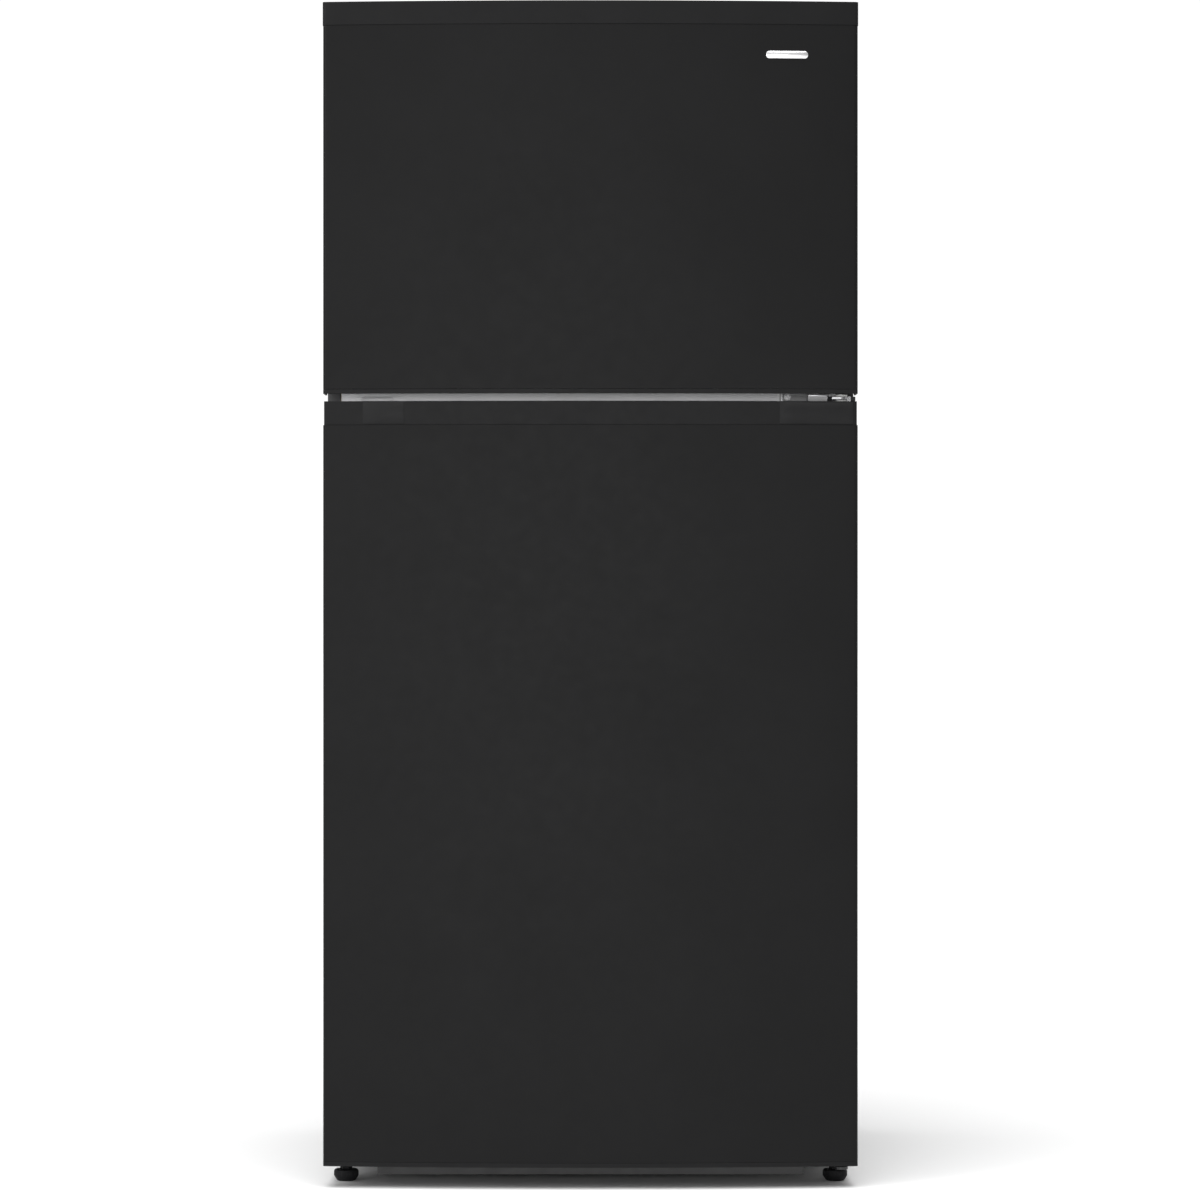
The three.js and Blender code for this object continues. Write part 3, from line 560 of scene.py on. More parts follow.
def door_path(inset, corner=6 * MM, bow_steps=72, corner_steps=6):
    """Plan of a door's face from the right rear edge, round the front, to the left rear edge."""
    half = HALF - inset
    rear = DOOR_REAR - inset
    turn = corner - inset
    corner_x = half - turn
    corner_y = front_y(corner_x, -inset) + turn
    flange, bend = mm((12, 1.5))
    points = [(half - flange + inset, rear), (half - bend, rear), (half, rear - bend), (half, corner_y + 15 * MM)]
    for i in range(corner_steps + 1):
        angle = math.radians(90 * i / corner_steps)
        points.append((corner_x + turn * math.cos(angle), corner_y - turn * math.sin(angle)))
    last = points[-1][0]
    for i in range(1, bow_steps):
        x = last * (1 - 2 * i / bow_steps)
        points.append((x, front_y(x, -inset)))
    mirrored = [(-x, y) for x, y in points[: corner_steps + 5]]
    return points + list(reversed(mirrored))


def door_skin(name, low, high, body, node):
    """The pressed steel face: bowed front, wrapped sides and rear flanges, in sheet 0.9 mm thick."""
    strip = door_path(0) + list(reversed(door_path(0.9 * MM)))
    levels = (low, low + 1 * MM, (low + high) / 2, high - 1 * MM, high)
    loops = [[(x, y, z) for x, y in strip] for z in levels]
    piece(name, loft(loops), "door_steel", body, [node], sharp=40)


def bowed_patch(name, x0, x1, z0, z1, out, thick, look, body, radius=2 * MM):
    """A thin plate with round corners that lies on the bowed door front."""
    outline = rounded(x0, x1, z0, z1, radius, 4)
    dense = []
    for (xa, za), (xb, zb) in zip(outline, outline[1:] + outline[:1]):
        count = max(1, int(abs(xb - xa) / (10 * MM)))
        for i in range(count):
            dense.append((xa + (xb - xa) * i / count, za + (zb - za) * i / count))
    middle_x = (x0 + x1) / 2
    middle_z = (z0 + z1) / 2
    loops = []
    for inset, depth in ((0, 0), (0, thick * 0.7), (thick * 0.35, thick)):
        ring = []
        for x, z in dense:
            sx = x - math.copysign(inset, x - middle_x)
            sz = z - math.copysign(inset, z - middle_z)
            ring.append((sx, front_y(sx, out + depth), sz))
        loops.append(ring)
    piece(name, loft(loops), look, body, sharp=50)


def both_sides(flank):
    """A closed section from its right flank, which runs up from the base."""
    return [(-flank[0][0], flank[0][1])] + flank + [(-out, rise) for out, rise in reversed(flank[1:])]


def gasket(name, node, body):
    """The magnetic seal: a bellows section swept round the door."""
    low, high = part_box(node)
    width = 22 * MM
    centre = high.x - width / 2
    flank = [(9, 0), (9.4, 1.2), (6.2, 2.2), (8.4, 4), (6, 5.6), (10.2, 6.8), (10.9, 8.2), (10.2, 10.2)]
    profile = [(out * MM, low.y + rise * MM) for out, rise in both_sides(flank)]
    sides = (centre, low.z + width / 2, high.z - width / 2)
    mesh = framed(sides, even(profile), 3 * MM, 5)
    piece(name, mesh, "gasket_rubber", body, [node], sharp=50)


def dike_centre(low_z, high_z):
    """The rectangle along the middle of a liner's rib: half width, low and high."""
    half_width = 13 * MM
    return 313 * MM, low_z + half_width, high_z - half_width


def liner_dike(name, node, body, low_z, high_z):
    """The moulded rib round a door liner, with soft shoulders."""
    top = (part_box(node)[1].y - DOOR_REAR) / MM
    flank = [(16.5, -1.2), (16.5, 0.1), (14.2, 0.9), (13, 3.2)]
    flank += [(11.6, top - 5), (10.4, top - 2), (7.2, top - 0.2)]
    profile = [(out * MM, DOOR_REAR + rise * MM) for out, rise in both_sides(flank)]
    mesh = framed(dike_centre(low_z, high_z), even(profile), DIKE_CORNER, 7)
    piece(name, mesh, "white_plastic", body, sharp=60)


def door_foam(name, node, body, dike_low, dike_high):
    """The foam that fills a door above its bottom cap, with its rounded rib inside the liner's."""
    low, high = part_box(node)
    bottom_cap = 26 * MM
    clear = 4 * MM
    outline = [(x, y) for x, y in door_path(clear, 7 * MM, 24, 3) if y < DOOR_REAR - clear]
    front = slab(outline, "z", low.z + bottom_cap, high.z - clear, 1 * MM)
    flank = [(9, -5), (9, 18), (6, 25)]
    profile = [(out * MM, DOOR_REAR + rise * MM) for out, rise in both_sides(flank)]
    rib = framed(dike_centre(dike_low, dike_high), even(profile), DIKE_CORNER, 6)
    piece(name, [front, rib], "foam", body, [node], sharp=50)


def liner_panel(name, node, body):
    """The flat field of a door liner."""
    low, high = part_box(node)
    outline = rounded(low.x, high.x, low.z, high.z, 5 * MM, 4)
    mesh = slab(outline, "y", low.y, DOOR_REAR, 0.5 * MM)
    piece(name, mesh, "white_plastic", body, [node], sharp=40)


def pressed_rib(x, base, z0, z1, half, steps):
    """A round-ended rib that stands on a sheet at y = base; steps are (inset, rise) in millimetres."""
    loops = []
    for inset, rise in mm(steps):
        reach = half - inset
        ring = rounded(x - reach, x + reach, z0 + inset, z1 - inset, reach, 6)
        loops.append([(u, base + rise, v) for u, v in ring])
    return loft(loops)


def door_bin(name, node, body):
    """A clear door bin: rounded tray, low wall on the door side, bright rail on the room side."""
    low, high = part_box(node)
    height = high.z - low.z
    mesh = open_box(low, high, 14 * MM, 4 * MM, 2.6 * MM, 3 * MM, (22 * MM, 0.42 * height))
    piece(name, mesh, "clear_plastic", body, [node], sharp=50)
    rail = rounded(high.y - 6 * MM, high.y, high.z - 17 * MM, high.z - 1 * MM, 2.4 * MM, 5)
    trim = slab(rail, "x", low.x + 15 * MM, high.x - 15 * MM, 1.6 * MM)
    piece(name + "_rail", trim, "white_plastic", body, sharp=50)


def build_doors():
    """Both doors: skin, caps, foam, liner, gasket and bins, with the badge and cap inserts."""
    for door, (low, high) in (("freezer", FREEZER_SKIN), ("fridge", FRIDGE_SKIN)):
        door_skin(door + "_door_face", low.z, high.z, door + "_door", door + "_door_skin")
        for end in ("top", "bottom"):
            keep_cad(f"{door}_door_{end}_cap", "door_plastic", 0.7 * MM, 3)
    keep_cad("fridge_door_stop", "dark_plastic", 0.5 * MM)
    insert_low = FRIDGE_CAP[0].z + 1.2 * MM
    insert_high = FRIDGE_CAP[1].z - 1.2 * MM
    inserts = {"grip": (-336, -275, 0.35), "hinge": (279, 388, 0.3)}
    for end, (x0, x1, thick) in inserts.items():
        bowed_patch(f"fridge_cap_{end}_insert", x0 * MM, x1 * MM, insert_low, insert_high,
                    -1.3 * MM, thick * MM, "cap_insert", "fridge_door")
    badge_z = FREEZER_CAP[1].z - 79 * MM
    half_high = 5.5 * MM
    bowed_patch("blank_badge", 259 * MM, 321 * MM, badge_z - half_high, badge_z + half_high,
                0, 1.4 * MM, "badge", "freezer_door", radius=5 * MM)
    for door, (z0, z1) in DIKES.items():
        body = door + "_door"
        liner = door + "_door_liner"
        gasket(door + "_door_seal", door + "_door_gasket", body)
        liner_panel(door + "_door_liner_panel", liner, body)
        liner_dike(door + "_door_liner_rib", liner, body, z0, z1)
        door_foam(door + "_door_foam_fill", door + "_door_foam", body, z0, z1)
        for i, x in enumerate(mm((-200, 0, 200))):
            steps = [(0, -0.3), (0.6, 1), (2.2, 2.4), (4.2, 3)]
            rib = pressed_rib(x, DOOR_REAR, z0 + 50 * MM, z1 - 50 * MM, 7 * MM, steps)
            piece(f"{door}_door_field_rib_{i + 1}", rib, "white_plastic", body, sharp=60)
    for node in ("freezer_door_bin_lower", "freezer_door_bin_upper"):
        door_bin(node + "_form", node, "freezer_door")
    for i in (1, 2, 3):
        door_bin(f"fridge_door_bin_{i}_form", f"fridge_door_bin_{i}", "fridge_door")


# ---------------------------------------------------------------- cabinet

def case_shell():
    """The folded outer sheet: sides and top in one piece, with rolled top corners and a front flange."""
    low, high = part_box("outer_case")
    thick = 1 * MM
    corner = 3 * MM
    steps = 6

    def hoop(inset):
        x = high.x - inset
        z = high.z - inset
        r = corner - inset
        arc = []
        for i in range(steps + 1):
            angle = math.radians(90 * i / steps)
            arc.append((x - r + r * math.cos(angle), z - r + r * math.sin(angle)))
        right = [(x, low.z)] + arc
        return right + [(-u, v) for u, v in reversed(right)]

    strip = hoop(0) + list(reversed(hoop(thick)))
    shell = slab(strip, "y", low.y + 0.4 * MM, high.y, 0.2 * MM)
    piece("case_shell", shell, "case_steel", "cabinet", ["outer_case"], sharp=40)
    side, bottom, top = mm((18, 30, 20))
    profile = [(0, 0, 0, low.y + 1 * MM), (0, 0, 0, low.y + 0.2 * MM), (0.3 * MM, 0.3 * MM, 0.3 * MM, low.y)]
    for short, rise in mm([(2, 0), (0.6, 0.5), (0, 1.6), (0, 2.5), (1, 2.5), (1, 1)]):
        profile.append((side - short, bottom - short, top - short, low.y + rise))
    opening = (high.x - side, low.z + bottom, high.z - top)
    mouth = framed(opening, profile, corner - side)
    piece("case_front_flange", mouth, "case_steel", "cabinet", sharp=50)


def compartment(name, node, half, z0, z1, rear, step=None):
    """A vacuum-formed liner: front flange, rolled mouth, round inner corners and back wall.

    step is (y, z): below that height the back wall stands forward at y.
    """
    flange_low, flange_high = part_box(node)
    front = flange_low.y
    wall = 2 * MM
    round_r = 14 * MM

    def loop(y, out, bottom=z0):
        radius = max(round_r + out, 2 * MM)
        return [(x, y, z) for x, z in rounded(-half - out, half + out, bottom - out, z1 + out, radius, 6)]

    deep_bottom = step[1] if step else z0
    loops = [loop(rear + wall, wall, deep_bottom)]
    if step:
        loops += [loop(step[0] + wall, wall, step[1]), loop(step[0] + wall, wall)]
    loops += [loop(front + 1 * MM, wall)]
    edge = rounded(flange_low.x, flange_high.x, flange_low.z, flange_high.z, 1.5 * MM, 6)
    loops += [[(x, front + 1 * MM, z) for x, z in edge], [(x, front, z) for x, z in edge]]
    loops += [loop(front, 5 * MM), loop(front + 0.5 * MM, 2.6 * MM), loop(front + 2 * MM, 0.8 * MM)]
    loops += [loop(front + 5 * MM, 0)]
    if step:
        y, z = step
        loops += [loop(y - 12 * MM, 0), loop(y - 4 * MM, 0, z0 + 3 * MM), loop(y, 0, z0 + 12 * MM)]
        loops += [loop(y, 0, z - 10 * MM), loop(y + 3 * MM, 0, z - 3 * MM), loop(y + 10 * MM, 0, z)]
    loops += [loop(rear - 14 * MM, 0, deep_bottom), loop(rear - 7 * MM, -2 * MM, deep_bottom)]
    loops += [loop(rear - 2 * MM, -7 * MM, deep_bottom), loop(rear, -14 * MM, deep_bottom)]
    piece(name, loft(loops), "white_plastic", "cabinet", [node], sharp=50)


def ledge_pair(half, y0, y1, top):
    """Shelf ledges moulded into both side walls."""
    bars = []
    for side in (-1, 1):
        x0, x1 = sorted((side * (half - 12 * MM), side * (half + 1 * MM)))
        bars.append(bar(x0, x1, y0, y1, top - 8 * MM, top - 0.3 * MM, 3 * MM, "y", 3 * MM))
    return bars


def glass_shelf(node):
    """A glass pane in a moulded frame with a deeper front rail."""
    low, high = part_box(node)
    pane_low = high.z - (7 if "freezer" in node else 6) * MM
    pane = rounded(low.x + 5 * MM, high.x - 5 * MM, low.y + 8 * MM, high.y - 8 * MM, 4 * MM, 5)
    top = high.z - 1 * MM
    mesh = slab(pane, "z", pane_low + 0.6 * MM, top, 0.8 * MM)
    piece(node + "_pane", mesh, "shelf_glass", "cabinet", [node], sharp=40)
    bars = [
        bar(low.x, high.x, low.y, low.y + 13 * MM, low.z, high.z, 3 * MM),
        bar(low.x, high.x, high.y - 12 * MM, high.y, pane_low, high.z + 1 * MM, 2 * MM),
    ]
    for side in (-1, 1):
        x0, x1 = sorted((side * high.x, side * (high.x - 11 * MM)))
        bars.append(bar(x0, x1, low.y + 12 * MM, high.y - 11 * MM, pane_low, high.z, 1.5 * MM, "y"))
    piece(node + "_trim", bars, "white_plastic", "cabinet", sharp=50)


def crisper_lid():
    """The glass over the crispers, in a frame whose front rail has a slot for the humidity slider."""
    low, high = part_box("crisper_cover")
    top = high.z
    pane = rounded(low.x + 4 * MM, high.x - 4 * MM, low.y + 10 * MM, high.y - 8 * MM, 4 * MM, 5)
    mesh = slab(pane, "z", top - 6 * MM, top - 1 * MM, 0.8 * MM)
    piece("crisper_lid_pane", mesh, "shelf_glass", "cabinet", ["crisper_cover"], sharp=40)
    slider_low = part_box("humidity_slider")[0]
    slot = slider_low.x - 4 * MM
    behind = slot - 2 * MM
    slot_low = slider_low.z - 0.4 * MM
    rail_low = top - 24 * MM
    bars = [
        bar(low.x, slot, low.y, low.y + 12 * MM, rail_low, top, 3 * MM),
        bar(-slot, high.x, low.y, low.y + 12 * MM, rail_low, top, 3 * MM),
        bar(behind, -behind, low.y + 0.3 * MM, low.y + 11 * MM, rail_low, slot_low, 2 * MM),
        bar(behind, -behind, low.y + 5.4 * MM, low.y + 11 * MM, slot_low - 2 * MM, top, 1 * MM),
        bar(low.x, high.x, high.y - 10 * MM, high.y, top - 8 * MM, top, 2 * MM),
        bar(-4 * MM, 4 * MM, low.y + 10 * MM, high.y - 1 * MM, low.z, top - 7 * MM, 1.2 * MM, "y"),
    ]
    for side in (-1, 1):
        x0, x1 = sorted((side * high.x, side * (high.x - 10 * MM)))
        bars.append(bar(x0, x1, low.y + 11 * MM, high.y - 9 * MM, top - 8 * MM, top, 1.5 * MM, "y"))
    piece("crisper_lid_trim", bars, "white_plastic", "cabinet", sharp=50)


def crisper_drawer(node):
    """A clear drawer: tapered tray with round corners, a rolled rim and a folded finger grip."""
    low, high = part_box(node)
    front = low.y + 12 * MM
    tray = open_box((low.x, front, low.z), tuple(high), 16 * MM, 5 * MM, 2.6 * MM, 3 * MM)
    piece(node + "_tray", tray, "clear_plastic", node, [node], sharp=50)
    middle = (low.x + high.x) / 2
    grip_z = high.z - 16 * MM
    grip_half = 112 * MM
    hook = [(12.5, 0.5), (2, 0.5), (0, -1.5), (0, -17), (1.4, -18), (2.8, -17), (2.8, -4), (4.4, -2.5)]
    hook.append((12.5, -2.5))
    points = [(low.y + y, grip_z + z) for y, z in mm(hook)]
    grip = slab(points, "x", middle - grip_half, middle + grip_half, 1 * MM)
    piece(node + "_grip", grip, "white_plastic", node, sharp=50)
    ribs = []
    margin = 45 * MM
    for i in range(5):
        x = low.x + margin + i * (high.x - low.x - 2 * margin) / 4
        ribs.append(bar(x - 3 * MM, x + 3 * MM, front + 25 * MM, high.y - 25 * MM,
                        low.z + 2.5 * MM, low.z + 4.6 * MM, 1 * MM, "y", 1 * MM))
    piece(node + "_floor_ribs", ribs, "clear_plastic", node, sharp=50)


def dial(node):
    """A control knob: skirt, ribbed grip bar and a pointer line, about its own shaft."""
    low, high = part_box(node)
    x = (low.x + high.x) / 2
    z = (low.z + high.z) / 2
    skirt_rear = low.y + 14 * MM
    profile = [(0, 0), (19, 0), (19.3, -0.6), (18.8, -4.4), (17.6, -5.6), (9, -6), (0, -6)]
    disc = turned("y", (x, skirt_rear, z), mm(profile), 48)
    half_long, half_wide = mm((17, 4))
    grip_outline = rounded(x - half_wide, x + half_wide, z - half_long, z + half_long, half_wide, 6)
    grip = slab(grip_outline, "y", low.y, skirt_rear - 5 * MM, 1.2 * MM)
    shaft = turned("y", (x, skirt_rear, z), mm([(0, -1), (3.2, -1), (3.2, 10), (0, 10)]), 20)
    piece(node + "_form", [disc, grip, shaft], "white_plastic", node, [node], sharp=40)
    mark = rounded(x - 0.7 * MM, x + 0.7 * MM, z + 5 * MM, z + 15 * MM, 0.7 * MM, 4)
    pointer = slab(mark, "y", low.y - 0.2 * MM, low.y + 1 * MM, 0.1 * MM)
    piece(node + "_pointer", pointer, "dark_plastic", node)


def foot(node):
    """A levelling foot: grooved pad, hexagon collar and threaded stem."""
    low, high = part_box(node)
    centre = ((low.x + high.x) / 2, (low.y + high.y) / 2, low.z)
    rib_low, rib_high, pad_high = 7.4, 14.6, 17
    pad = [(0, 0), (12, 0), (13.4, 0.5), (15, 2.2), (17.6, 6.4), (18, rib_low), (18, rib_high)]
    pad += [(17.4, 16.2), (15.8, pad_high), (9, pad_high), (0, pad_high)]
    meshes = [turned("z", centre, mm(pad), 48)]
    for x, y in circle(centre[0], centre[1], 17.7 * MM, 30):
        outline = circle(x, y, 0.7 * MM, 8)
        meshes.append(slab(outline, "z", low.z + rib_low * MM, low.z + rib_high * MM, 0.3 * MM))
    hexagon = circle(centre[0], centre[1], 9 * MM, 6)
    meshes.append(slab(hexagon, "z", low.z + 16.8 * MM, low.z + 21 * MM, 0.8 * MM))
    thread = [(0, 20)]
    turns = 15
    thread_length = 17.2
    for i in range(turns):
        height = 20 + i * thread_length / turns
        thread += [(3.5, height), (4.1, height + 0.45), (3.5, height + 0.9)]
    thread += [(3.4, 37.6), (2.8, 38), (0, 38)]
    meshes.append(turned("z", centre, mm(thread), 24))
    piece(node + "_form", meshes, "dark_plastic", node, [node], sharp=38)


def wheel(node):
    """A rear roller with a rounded tread, side recess and hub."""
    low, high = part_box(node)
    width = (high.x - low.x) / MM
    side = (low.x, (low.y + high.y) / 2, (low.z + high.z) / 2)
    half = [(3.4, 0), (7, 0), (7.6, 0.6), (7.6, 2.4), (15.5, 2.4)]
    half += [(16, 1.8), (16.4, 0.6), (17.4, 0), (19, 0.9), (20, 3)]
    whole = half + [(radius, width - depth) for radius, depth in reversed(half)]
    form = turned("x", side, mm(whole), 48, closed=True)
    piece(node + "_form", form, "dark_plastic", node, [node], sharp=45)


def pressed_back():
    """The rear sheet: edge hems, vertical pressed ribs and its screws."""
    low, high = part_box("back_panel")
    sheet = slab(rounded(low.x, high.x, low.z, high.z, 3 * MM, 4), "y", low.y, high.y, 0.2 * MM)
    ribs = []
    steps = [(0, -0.3), (1, 1.6), (3, 4.4), (6, 6)]
    end = 70 * MM
    for x in mm(range(-300, 301, 100)):
        ribs.append(pressed_rib(x, high.y, low.z + end, high.z - end, 13 * MM, steps))
    hems = []
    for x0, x1 in ((low.x, low.x + 9 * MM), (high.x - 9 * MM, high.x)):
        hems.append(bar(x0, x1, high.y - 0.2 * MM, high.y + 1 * MM, low.z, high.z, 0.5 * MM, "z"))
    whole = merged([sheet] + ribs + hems)
    piece("rear_sheet", whole, "zinc_steel", "cabinet", ["back_panel"], sharp=50)
    spots = []
    margin = 20 * MM
    for i in range(6):
        z = low.z + margin + i * (high.z - low.z - 2 * margin) / 5
        spots += [(low.x + 18 * MM, z), (high.x - 18 * MM, z)]
    spots += [(x, high.z - 12 * MM) for x in mm((-200, 0, 200))]
    for i, (x, z) in enumerate(spots):
        screw(f"rear_sheet_screw_{i + 1}", (x, high.y - 0.1 * MM, z), BACK, "nickel_steel", "cabinet", 5 * MM)
    profile = [(0, 0), (17, 0), (17, 1), (15, 2.4), (0, 2.6)]
    plug = turned("y", (150 * MM, high.y, 1560 * MM), mm(profile), 40)
    piece("foam_port_plug", plug, "dark_plastic", "cabinet", sharp=40)


def machine_room():
    """Cover screws and cord gland, compressor, refrigerant pipe and filter drier."""
    plate_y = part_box("machine_room_cover")[0].y + 2 * MM
    right_half = [(372, 66), (372, 150), (120, 290), (372, 290)]
    places = [(side * x, z) for side in (-1, 1) for x, z in mm(right_half)]
    screw_y = plate_y - 0.1 * MM
    for i, (x, z) in enumerate(places):
        screw(f"room_cover_screw_{i + 1}", (x, screw_y, z), BACK, "nickel_steel", "cabinet", 5 * MM)
    gland = [(7.1, 6), (9.5, 6), (11.4, 7.4), (12.6, 7.6), (13, 6.6), (13, 8.8), (11.5, 10.2), (8.2, 10.6)]
    gland.append((7.1, 9.6))
    grommet = turned("y", (-300 * MM, plate_y, 95 * MM), mm(gland), 40, closed=True)
    piece("cord_gland_grommet", grommet, "gasket_rubber", "cabinet")
    x, y = COMPRESSOR
    profile = [(0, 0), (52, 0.5), (68, 5), (76, 14), (79, 30), (79, 90), (82.4, 92.6), (82.4, 97.5)]
    profile += [(79, 100), (77, 112), (70, 132), (56, 150), (34, 160), (14, 164), (0, 165)]
    dome = turned("z", (x, y, 61 * MM), mm(profile), 56)
    half_long, half_wide = mm((98, 68))
    outline = rounded(x - half_long, x + half_long, y - half_wide, y + half_wide, 16 * MM, 6)
    plate = slab(outline, "z", 59 * MM, 63 * MM, 1 * MM)
    piece("compressor_shell", [dome, plate], "black_enamel", "cabinet", ["compressor"])
    box = bar(x - half_long, x - 66 * MM, y - 30 * MM, y + 20 * MM, 105 * MM, 145 * MM, 5 * MM, "z", 3 * MM)
    piece("compressor_terminal_cover", box, "dark_plastic", "cabinet")
    profile = [(0, 0), (11, 0), (12, 1.4), (11, 3), (8.6, 4)]
    profile += [(8.6, 6), (11, 7.4), (11, 9.4), (8, 11), (0, 11)]
    mounts = []
    for dx in mm((-85, 85)):
        for dy in mm((-55, 55)):
            mounts.append(turned("z", (x + dx, y + dy, 48.2 * MM), mm(profile), 28))
    piece("compressor_grommets", mounts, "gasket_rubber", "cabinet")
    path = [(60, 216, 160), (60, 216, 190), (22, 190, 213), (-60, 170, 200), (-120, 190, 152)]
    path += [(-160, 250, 132), (-180, 288, 152), (-180, 290, 200), (-180, 290, 250), (-180, 290, 299)]
    pipe("refrigerant_tube", mm(path), 3.5 * MM, "copper", "cabinet", ["refrigerant_line"])
    drier = [(0, 195), (4, 195), (6, 198), (10, 203), (10.4, 206), (10, 209)]
    drier += [(10, 256), (10.4, 259), (10, 262), (6, 267), (4, 270), (0, 270)]
    mesh = turned("z", (-180 * MM, 290 * MM, 0), mm(drier), 32)
    piece("filter_drier", mesh, "copper", "cabinet")


def flat_plate(name, look, outline, radius, front, back, edge, steps=4):
    """A thin plate facing the front; outline is (x0, x1, z0, z1) in mm."""
    mesh = slab(rounded(*mm(outline), radius * MM, steps), "y", front, back, edge * MM)
    piece(name, mesh, look, "cabinet")


def hinge_details():
    """Small bright and dark pieces that show in the gap between the doors, and the top hinge's screws."""
    lip_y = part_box("middle_hinge_bracket")[0].y
    flange_y = -283.6 * MM
    lip = slab(rounded(*mm((322, 350, 1163.3, 1173.2)), 1.2 * MM, 4), "y",
               lip_y - 1.2 * MM, lip_y + 0.4 * MM, 0.3 * MM)
    piece("hinge_arm_lip", lip, "trim_grey", "cabinet", sharp=40)
    flat_plate("hinge_arm_edge", "nickel_steel", (322.6, 349.4, 1170.6, 1173), 0.8,
               lip_y - 1.5 * MM, lip_y - 1 * MM, 0.15, 6)
    flat_plate("hinge_arm_clip", "dark_plastic", (350.6, 357.6, 1163.6, 1170.2), 1,
               lip_y - 1 * MM, lip_y + 0.4 * MM, 0.2)
    bush = [(4.7, 0), (8.6, 0), (9, 0.4), (9, 2.4), (8.6, 2.8), (4.7, 2.8)]
    for name, base in (("hinge_bush_lower", 1162.9 * MM), ("hinge_bush_upper", 1170.4 * MM)):
        mesh = turned("z", (HINGE_X, HINGE_Y, base), mm(bush), 40, closed=True)
        piece(name, mesh, "bright_nylon", "cabinet")
    flat_plate("hinge_flange_trim", "trim_grey", (286, 356, 1158.6, 1177.4), 2,
               flange_y - 0.9 * MM, flange_y + 0.1 * MM, 0.2)
    flat_plate("hinge_flange_edge", "bright_nylon", (282, 284, 1158, 1178), 0.6,
               flange_y - 1.4 * MM, flange_y + 2.6 * MM, 0.1)
    screw("middle_hinge_screw", (293.5 * MM, flange_y - 0.8 * MM, 1171.6 * MM), FRONT, "rail_grey", "cabinet",
          5.6 * MM, 2.6 * MM, "round")
    rail_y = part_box("mullion_rail")[0].y
    flat_plate("rail_hole_plate", "rail_grey", (-342, -294, 1163.6, 1172.4), 4.4,
               rail_y - 1 * MM, rail_y + 0.2 * MM, 0.3, 8)
    screw_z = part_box("top_hinge_bracket")[1].z - 0.1 * MM
    for i, x in enumerate(mm((312, 344, 376))):
        screw(f"top_hinge_screw_{i + 1}", (x, -222 * MM, screw_z), UP, "nickel_steel", "cabinet")
    cover_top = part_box("top_hinge_cover")[1].z
    screw("hinge_cover_screw", (344 * MM, -232 * MM, cover_top - 1.4 * MM), UP, "black_enamel", "cabinet",
          4 * MM, 1.6 * MM, "round")


def ice_maker():
    """The ice bin with its grip, the frame, and the twist tray with its lever."""
    low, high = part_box("ice_bin")
    bin_mesh = open_box(tuple(low), tuple(high), 12 * MM, 4 * MM, 2.4 * MM, 3 * MM)
    piece("ice_bin_tray", bin_mesh, "clear_plastic", "ice_bin", ["ice_bin"], sharp=50)
    grip = bar(low.x + 20 * MM, high.x - 20 * MM, low.y - 0.2 * MM, low.y + 3.2 * MM,
               high.z - 16 * MM, high.z - 4 * MM, 1.4 * MM, "x", 1.4 * MM)
    piece("ice_bin_grip", grip, "white_plastic", "ice_bin", sharp=50)
    keep_cad("ice_maker_frame", "white_plastic", 1.6 * MM, 3)
    keep_cad("ice_tray", "clear_plastic", 1.2 * MM, 3)
    low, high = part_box("ice_tray")
    outline = rounded(low.x + 20 * MM, high.x - 20 * MM, 1573 * MM, 1587 * MM, 6 * MM, 6)
    lever = slab(outline, "y", low.y, low.y + 13.6 * MM, 1.6 * MM)
    piece("ice_tray_lever", lever, "white_plastic", "ice_tray", sharp=40)


def lamp_cover(name, outline, radius, front, back, edge):
    """The lens over a lamp; outline is (x0, x1, z0, z1)."""
    mesh = slab(rounded(*outline, radius * MM, 6), "y", front, back, edge * MM)
    piece(name, mesh, "lens", "cabinet", sharp=50)


def air_rims(front):
    """Raised rims round the openings and the plain panel of the evaporator cover."""
    section = mm([(-4, 0.3), (-3.4, -1.6), (-1.6, -2.6), (1.6, -2.6), (3.4, -1.6), (4, 0.3)])
    grille = (-128, 128, 1532, 1646)
    inlet = (-254, 86, 1214, 1248)
    panel = (-325, 325, 1268, 1516)
    rims = []
    for x0, x1, z0, z1 in mm((grille, inlet, panel)):
        loops = []
        for out, rise in section:
            ring = rounded(x0 - out, x1 + out, z0 - out, z1 + out, 8 * MM + out, 6)
            loops.append([(x, front + rise, z) for x, z in ring])
        rims.append(loft(loops, closed=True))
    piece("evaporator_cover_rims", rims, "white_plastic", "cabinet", sharp=60)


def temperature_scale(front):
    """Dots that grow round the fridge knob; those that would miss the housing's front are left out."""
    low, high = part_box("fridge_temperature_knob")
    centre_x = (low.x + high.x) / 2
    centre_z = (low.z + high.z) / 2
    dots = []
    for i in range(7):
        angle = math.radians(-30 + 40 * i)
        x = centre_x - 24 * MM * math.cos(angle)
        z = centre_z + 24 * MM * math.sin(angle)
        if abs(z - centre_z) < 19 * MM:
            outline = circle(x, z, (0.8 + 0.14 * i) * MM, 16)
            dots.append(slab(outline, "y", front - 0.25 * MM, front + 0.2 * MM, 0.05 * MM))
    piece("temperature_scale_dots", dots, "dark_plastic", "cabinet")


